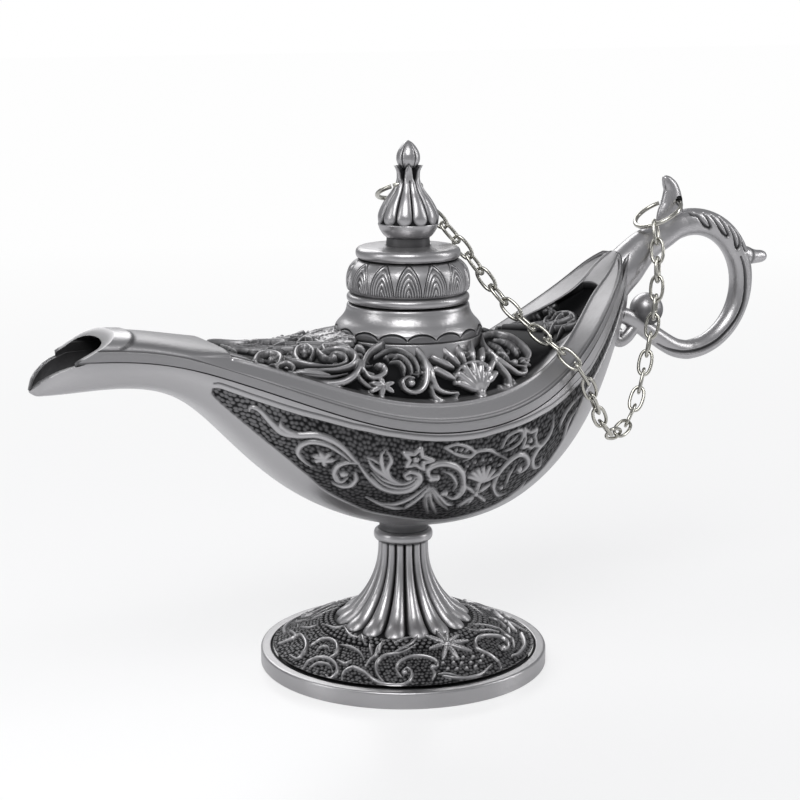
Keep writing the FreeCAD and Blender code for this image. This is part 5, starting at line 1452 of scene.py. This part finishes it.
def pewter(name, light=0.42, dark=0.012):
    """Cast pewter: bright worn ridges with painted highlight, near-black patina with painted shade in the
    hollows, a fine sandy grain.
    """
    finish, tree, shader = finish_of(name)
    tone = add_node(tree, "Attribute", attribute_name="tone")
    place = add_node(tree, "TexCoord").outputs["Object"]
    cloud = add_node(tree, "TexNoise", {"Scale": 90, "Detail": 4}, {"Vector": place})
    wear = add_node(tree, "Math", {1: 0.22, 2: -0.11}, {0: cloud.outputs["Fac"]}, operation="MULTIPLY_ADD")
    both = add_node(tree, "Math", {}, {0: tone.outputs["Fac"], 1: wear.outputs[0]}, operation="ADD")
    total = both.outputs[0]
    ramp = add_node(tree, "ValToRGB", {}, {"Fac": total})
    ramp.color_ramp.interpolation = "EASE"
    set_stops(ramp, (0.04, (dark, dark, dark * 1.08, 1)), (0.95, (light, light * 0.985, light, 1)),
              (0.5, (light * 0.42, light * 0.415, light * 0.425, 1)))
    tree.links.new(ramp.outputs["Color"], shader.inputs["Base Color"])
    rough = add_node(tree, "MapRange", {"To Min": 0.6, "To Max": 0.33}, {"Value": total})
    tree.links.new(rough.outputs["Result"], shader.inputs["Roughness"])
    grain = add_node(tree, "TexNoise", {"Scale": 1500, "Detail": 3}, {"Vector": place})
    bump = add_node(tree, "Bump", {"Strength": 0.16, "Distance": 0.0002}, {"Height": grain.outputs["Fac"]})
    tree.links.new(bump.outputs["Normal"], shader.inputs["Normal"])
    shader.inputs["Metallic"].default_value = 0.92
    return finish


def bright_metal(name, colour, roughness):
    """Plain drawn metal, a little cloudy."""
    finish, tree, shader = finish_of(name)
    place = add_node(tree, "TexCoord").outputs["Object"]
    cloud = add_node(tree, "TexNoise", {"Scale": 700}, {"Vector": place})
    ramp = add_node(tree, "ValToRGB", {}, {"Fac": cloud.outputs["Fac"]})
    set_stops(ramp, (0.3, (*(c * 0.82 for c in colour), 1)), (0.7, (*colour, 1)))
    tree.links.new(ramp.outputs["Color"], shader.inputs["Base Color"])
    shader.inputs["Metallic"].default_value = 1.0
    shader.inputs["Roughness"].default_value = roughness
    return finish


def white_floor(name):
    """A pale floor that glows white to the camera, less so near the object, where its shadow shows."""
    finish, tree, shader = finish_of(name)
    shader.inputs["Base Color"].default_value = (0.9, 0.9, 0.91, 1)
    shader.inputs["Roughness"].default_value = 0.3
    glow = add_node(tree, "Emission", {"Color": (1, 1, 1, 1), "Strength": 0.99})
    seen_by = add_node(tree, "LightPath")
    place = add_node(tree, "TexCoord")
    reach = add_node(tree, "VectorMath", {}, {0: place.outputs["Object"]}, operation="LENGTH")
    fade = add_node(tree, "MapRange", {"From Min": 0.08, "From Max": 0.55, "To Min": 0.62, "To Max": 1.0},
                    {"Value": reach.outputs["Value"]})
    part = add_node(tree, "Math", {}, {0: seen_by.outputs["Is Camera Ray"], 1: fade.outputs["Result"]},
                    operation="MULTIPLY")
    both = add_node(tree, "MixShader", {}, {"Fac": part.outputs[0], 1: shader.outputs[0], 2: glow.outputs[0]})
    tree.links.new(both.outputs[0], tree.nodes["Material Output"].inputs["Surface"])
    return finish


cast = pewter("cast_pewter")
nickel = bright_metal("nickel_wire", (0.50, 0.49, 0.445), 0.2)
steel = bright_metal("steel_screw", (0.42, 0.42, 0.43), 0.35)

for name, sheet, body, node, slot in (
        ("bowl_shell", bowl, "base", "bowl", "pewter_bowl"),
        ("pierced_cover", cover, "base", "cover", "pewter_cover"),
        ("foot_casting", foot, "base", "foot", "pewter_foot"),
        ("collar_ring", collar, "base", "neck_collar", "pewter_neck"),
        ("handle_casting", handle, "base", "handle", "pewter_handle"),
        ("lid_drum", lid, "lid", "lid_cap", "pewter_lid"),
        ("finial_bud", finial, "lid", "finial", "pewter_finial")):
    piece = sheet.build(name)
    piece.data.materials.append(cast)
    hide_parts(node)
    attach(piece, body)
for ring, node in ((finial_ring, "finial_ring"), (handle_ring, "handle_ring")):
    ring.data.materials.append(nickel)
    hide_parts(node)
    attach(ring, node)

# All links are baked in place alike: the first six, those between and the last eight
FINIAL_LINKS, HANDLE_LINKS_FROM = 6, 22
centres = [np.mean([v.co for v in link.data.vertices], axis=0) for link in links]
for i, (link, centre) in enumerate(zip(links, centres)):
    link.data.materials.append(nickel)
    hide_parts(f"chain_link_{i + 1:02d}")
    if i < FINIAL_LINKS:
        held(link)
    elif i < HANDLE_LINKS_FROM:
        held(link)
    else:
        held(link)
for name in ("foot_screw", "foot_washer", "finial_screw"):
    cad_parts[name].data.materials.clear()
    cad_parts[name].data.materials.append(steel)


# Floor, light and camera

FLOOR = 3000
floor = new_mesh("floor", [(-FLOOR, -FLOOR, 0), (FLOOR, -FLOOR, 0), (FLOOR, FLOOR, 0), (-FLOOR, FLOOR, 0)],
                 [(0, 1, 2, 3)], np.ones(4))
floor.data.materials.append(white_floor("white_floor"))


def area(name, place, target, size, power):
    """A soft lamp of a width and height in metres, turned to its target."""
    lamp = bpy.data.lights.new(name, "AREA")
    lamp.shape = "RECTANGLE"
    lamp.size, lamp.size_y = size
    lamp.energy = power
    obj = bpy.data.objects.new(name, lamp)
    bpy.context.collection.objects.link(obj)
    obj.location = place
    obj.rotation_euler = (Vector(target) - Vector(place)).to_track_quat("-Z", "Y").to_euler()


area("key", (-0.30, -0.42, 0.62), (0, 0, 0.045), (0.40, 0.40), 3.0)
area("side", (0.50, -0.25, 0.30), (0, 0, 0.05), (0.10, 0.45), 0.9)
area("rim", (0.10, 0.60, 0.45), (0, 0, 0.05), (0.6, 0.3), 1.8)
area("left", (-0.62, 0.05, 0.30), (0, 0, 0.05), (0.16, 0.45), 0.8)

world = bpy.data.worlds.new("studio")
bpy.context.scene.world = world
world.use_nodes = True
sky = world.node_tree
back = sky.nodes["Background"]
back.inputs["Color"].default_value = (0.86, 0.87, 0.90, 1)
back.inputs["Strength"].default_value = 0.42
white = add_node(sky, "Background", {"Color": (1, 1, 1, 1), "Strength": 1.0})
seen_by = add_node(sky, "LightPath")
mix = add_node(sky, "MixShader", {}, {"Fac": seen_by.outputs["Is Camera Ray"], 1: back.outputs[0],
                                      2: white.outputs[0]})
sky.links.new(mix.outputs[0], sky.nodes["World Output"].inputs["Surface"])

camera = bpy.data.cameras.new("camera")
camera.sensor_width = 36
camera.lens = VIEW_FOCAL / FRAME * 36
camera.shift_x = (FRAME / 2 - VIEW_X) / FRAME
camera.clip_start = 0.01
eye = bpy.data.objects.new("camera", camera)
bpy.context.collection.objects.link(eye)
eye.location = Vector(VIEW_FROM * MM)
eye.rotation_euler = Vector(VIEW_AHEAD).to_track_quat("-Z", "Y").to_euler()
bpy.context.scene.camera = eye
bpy.context.scene.view_settings.view_transform = "Standard"
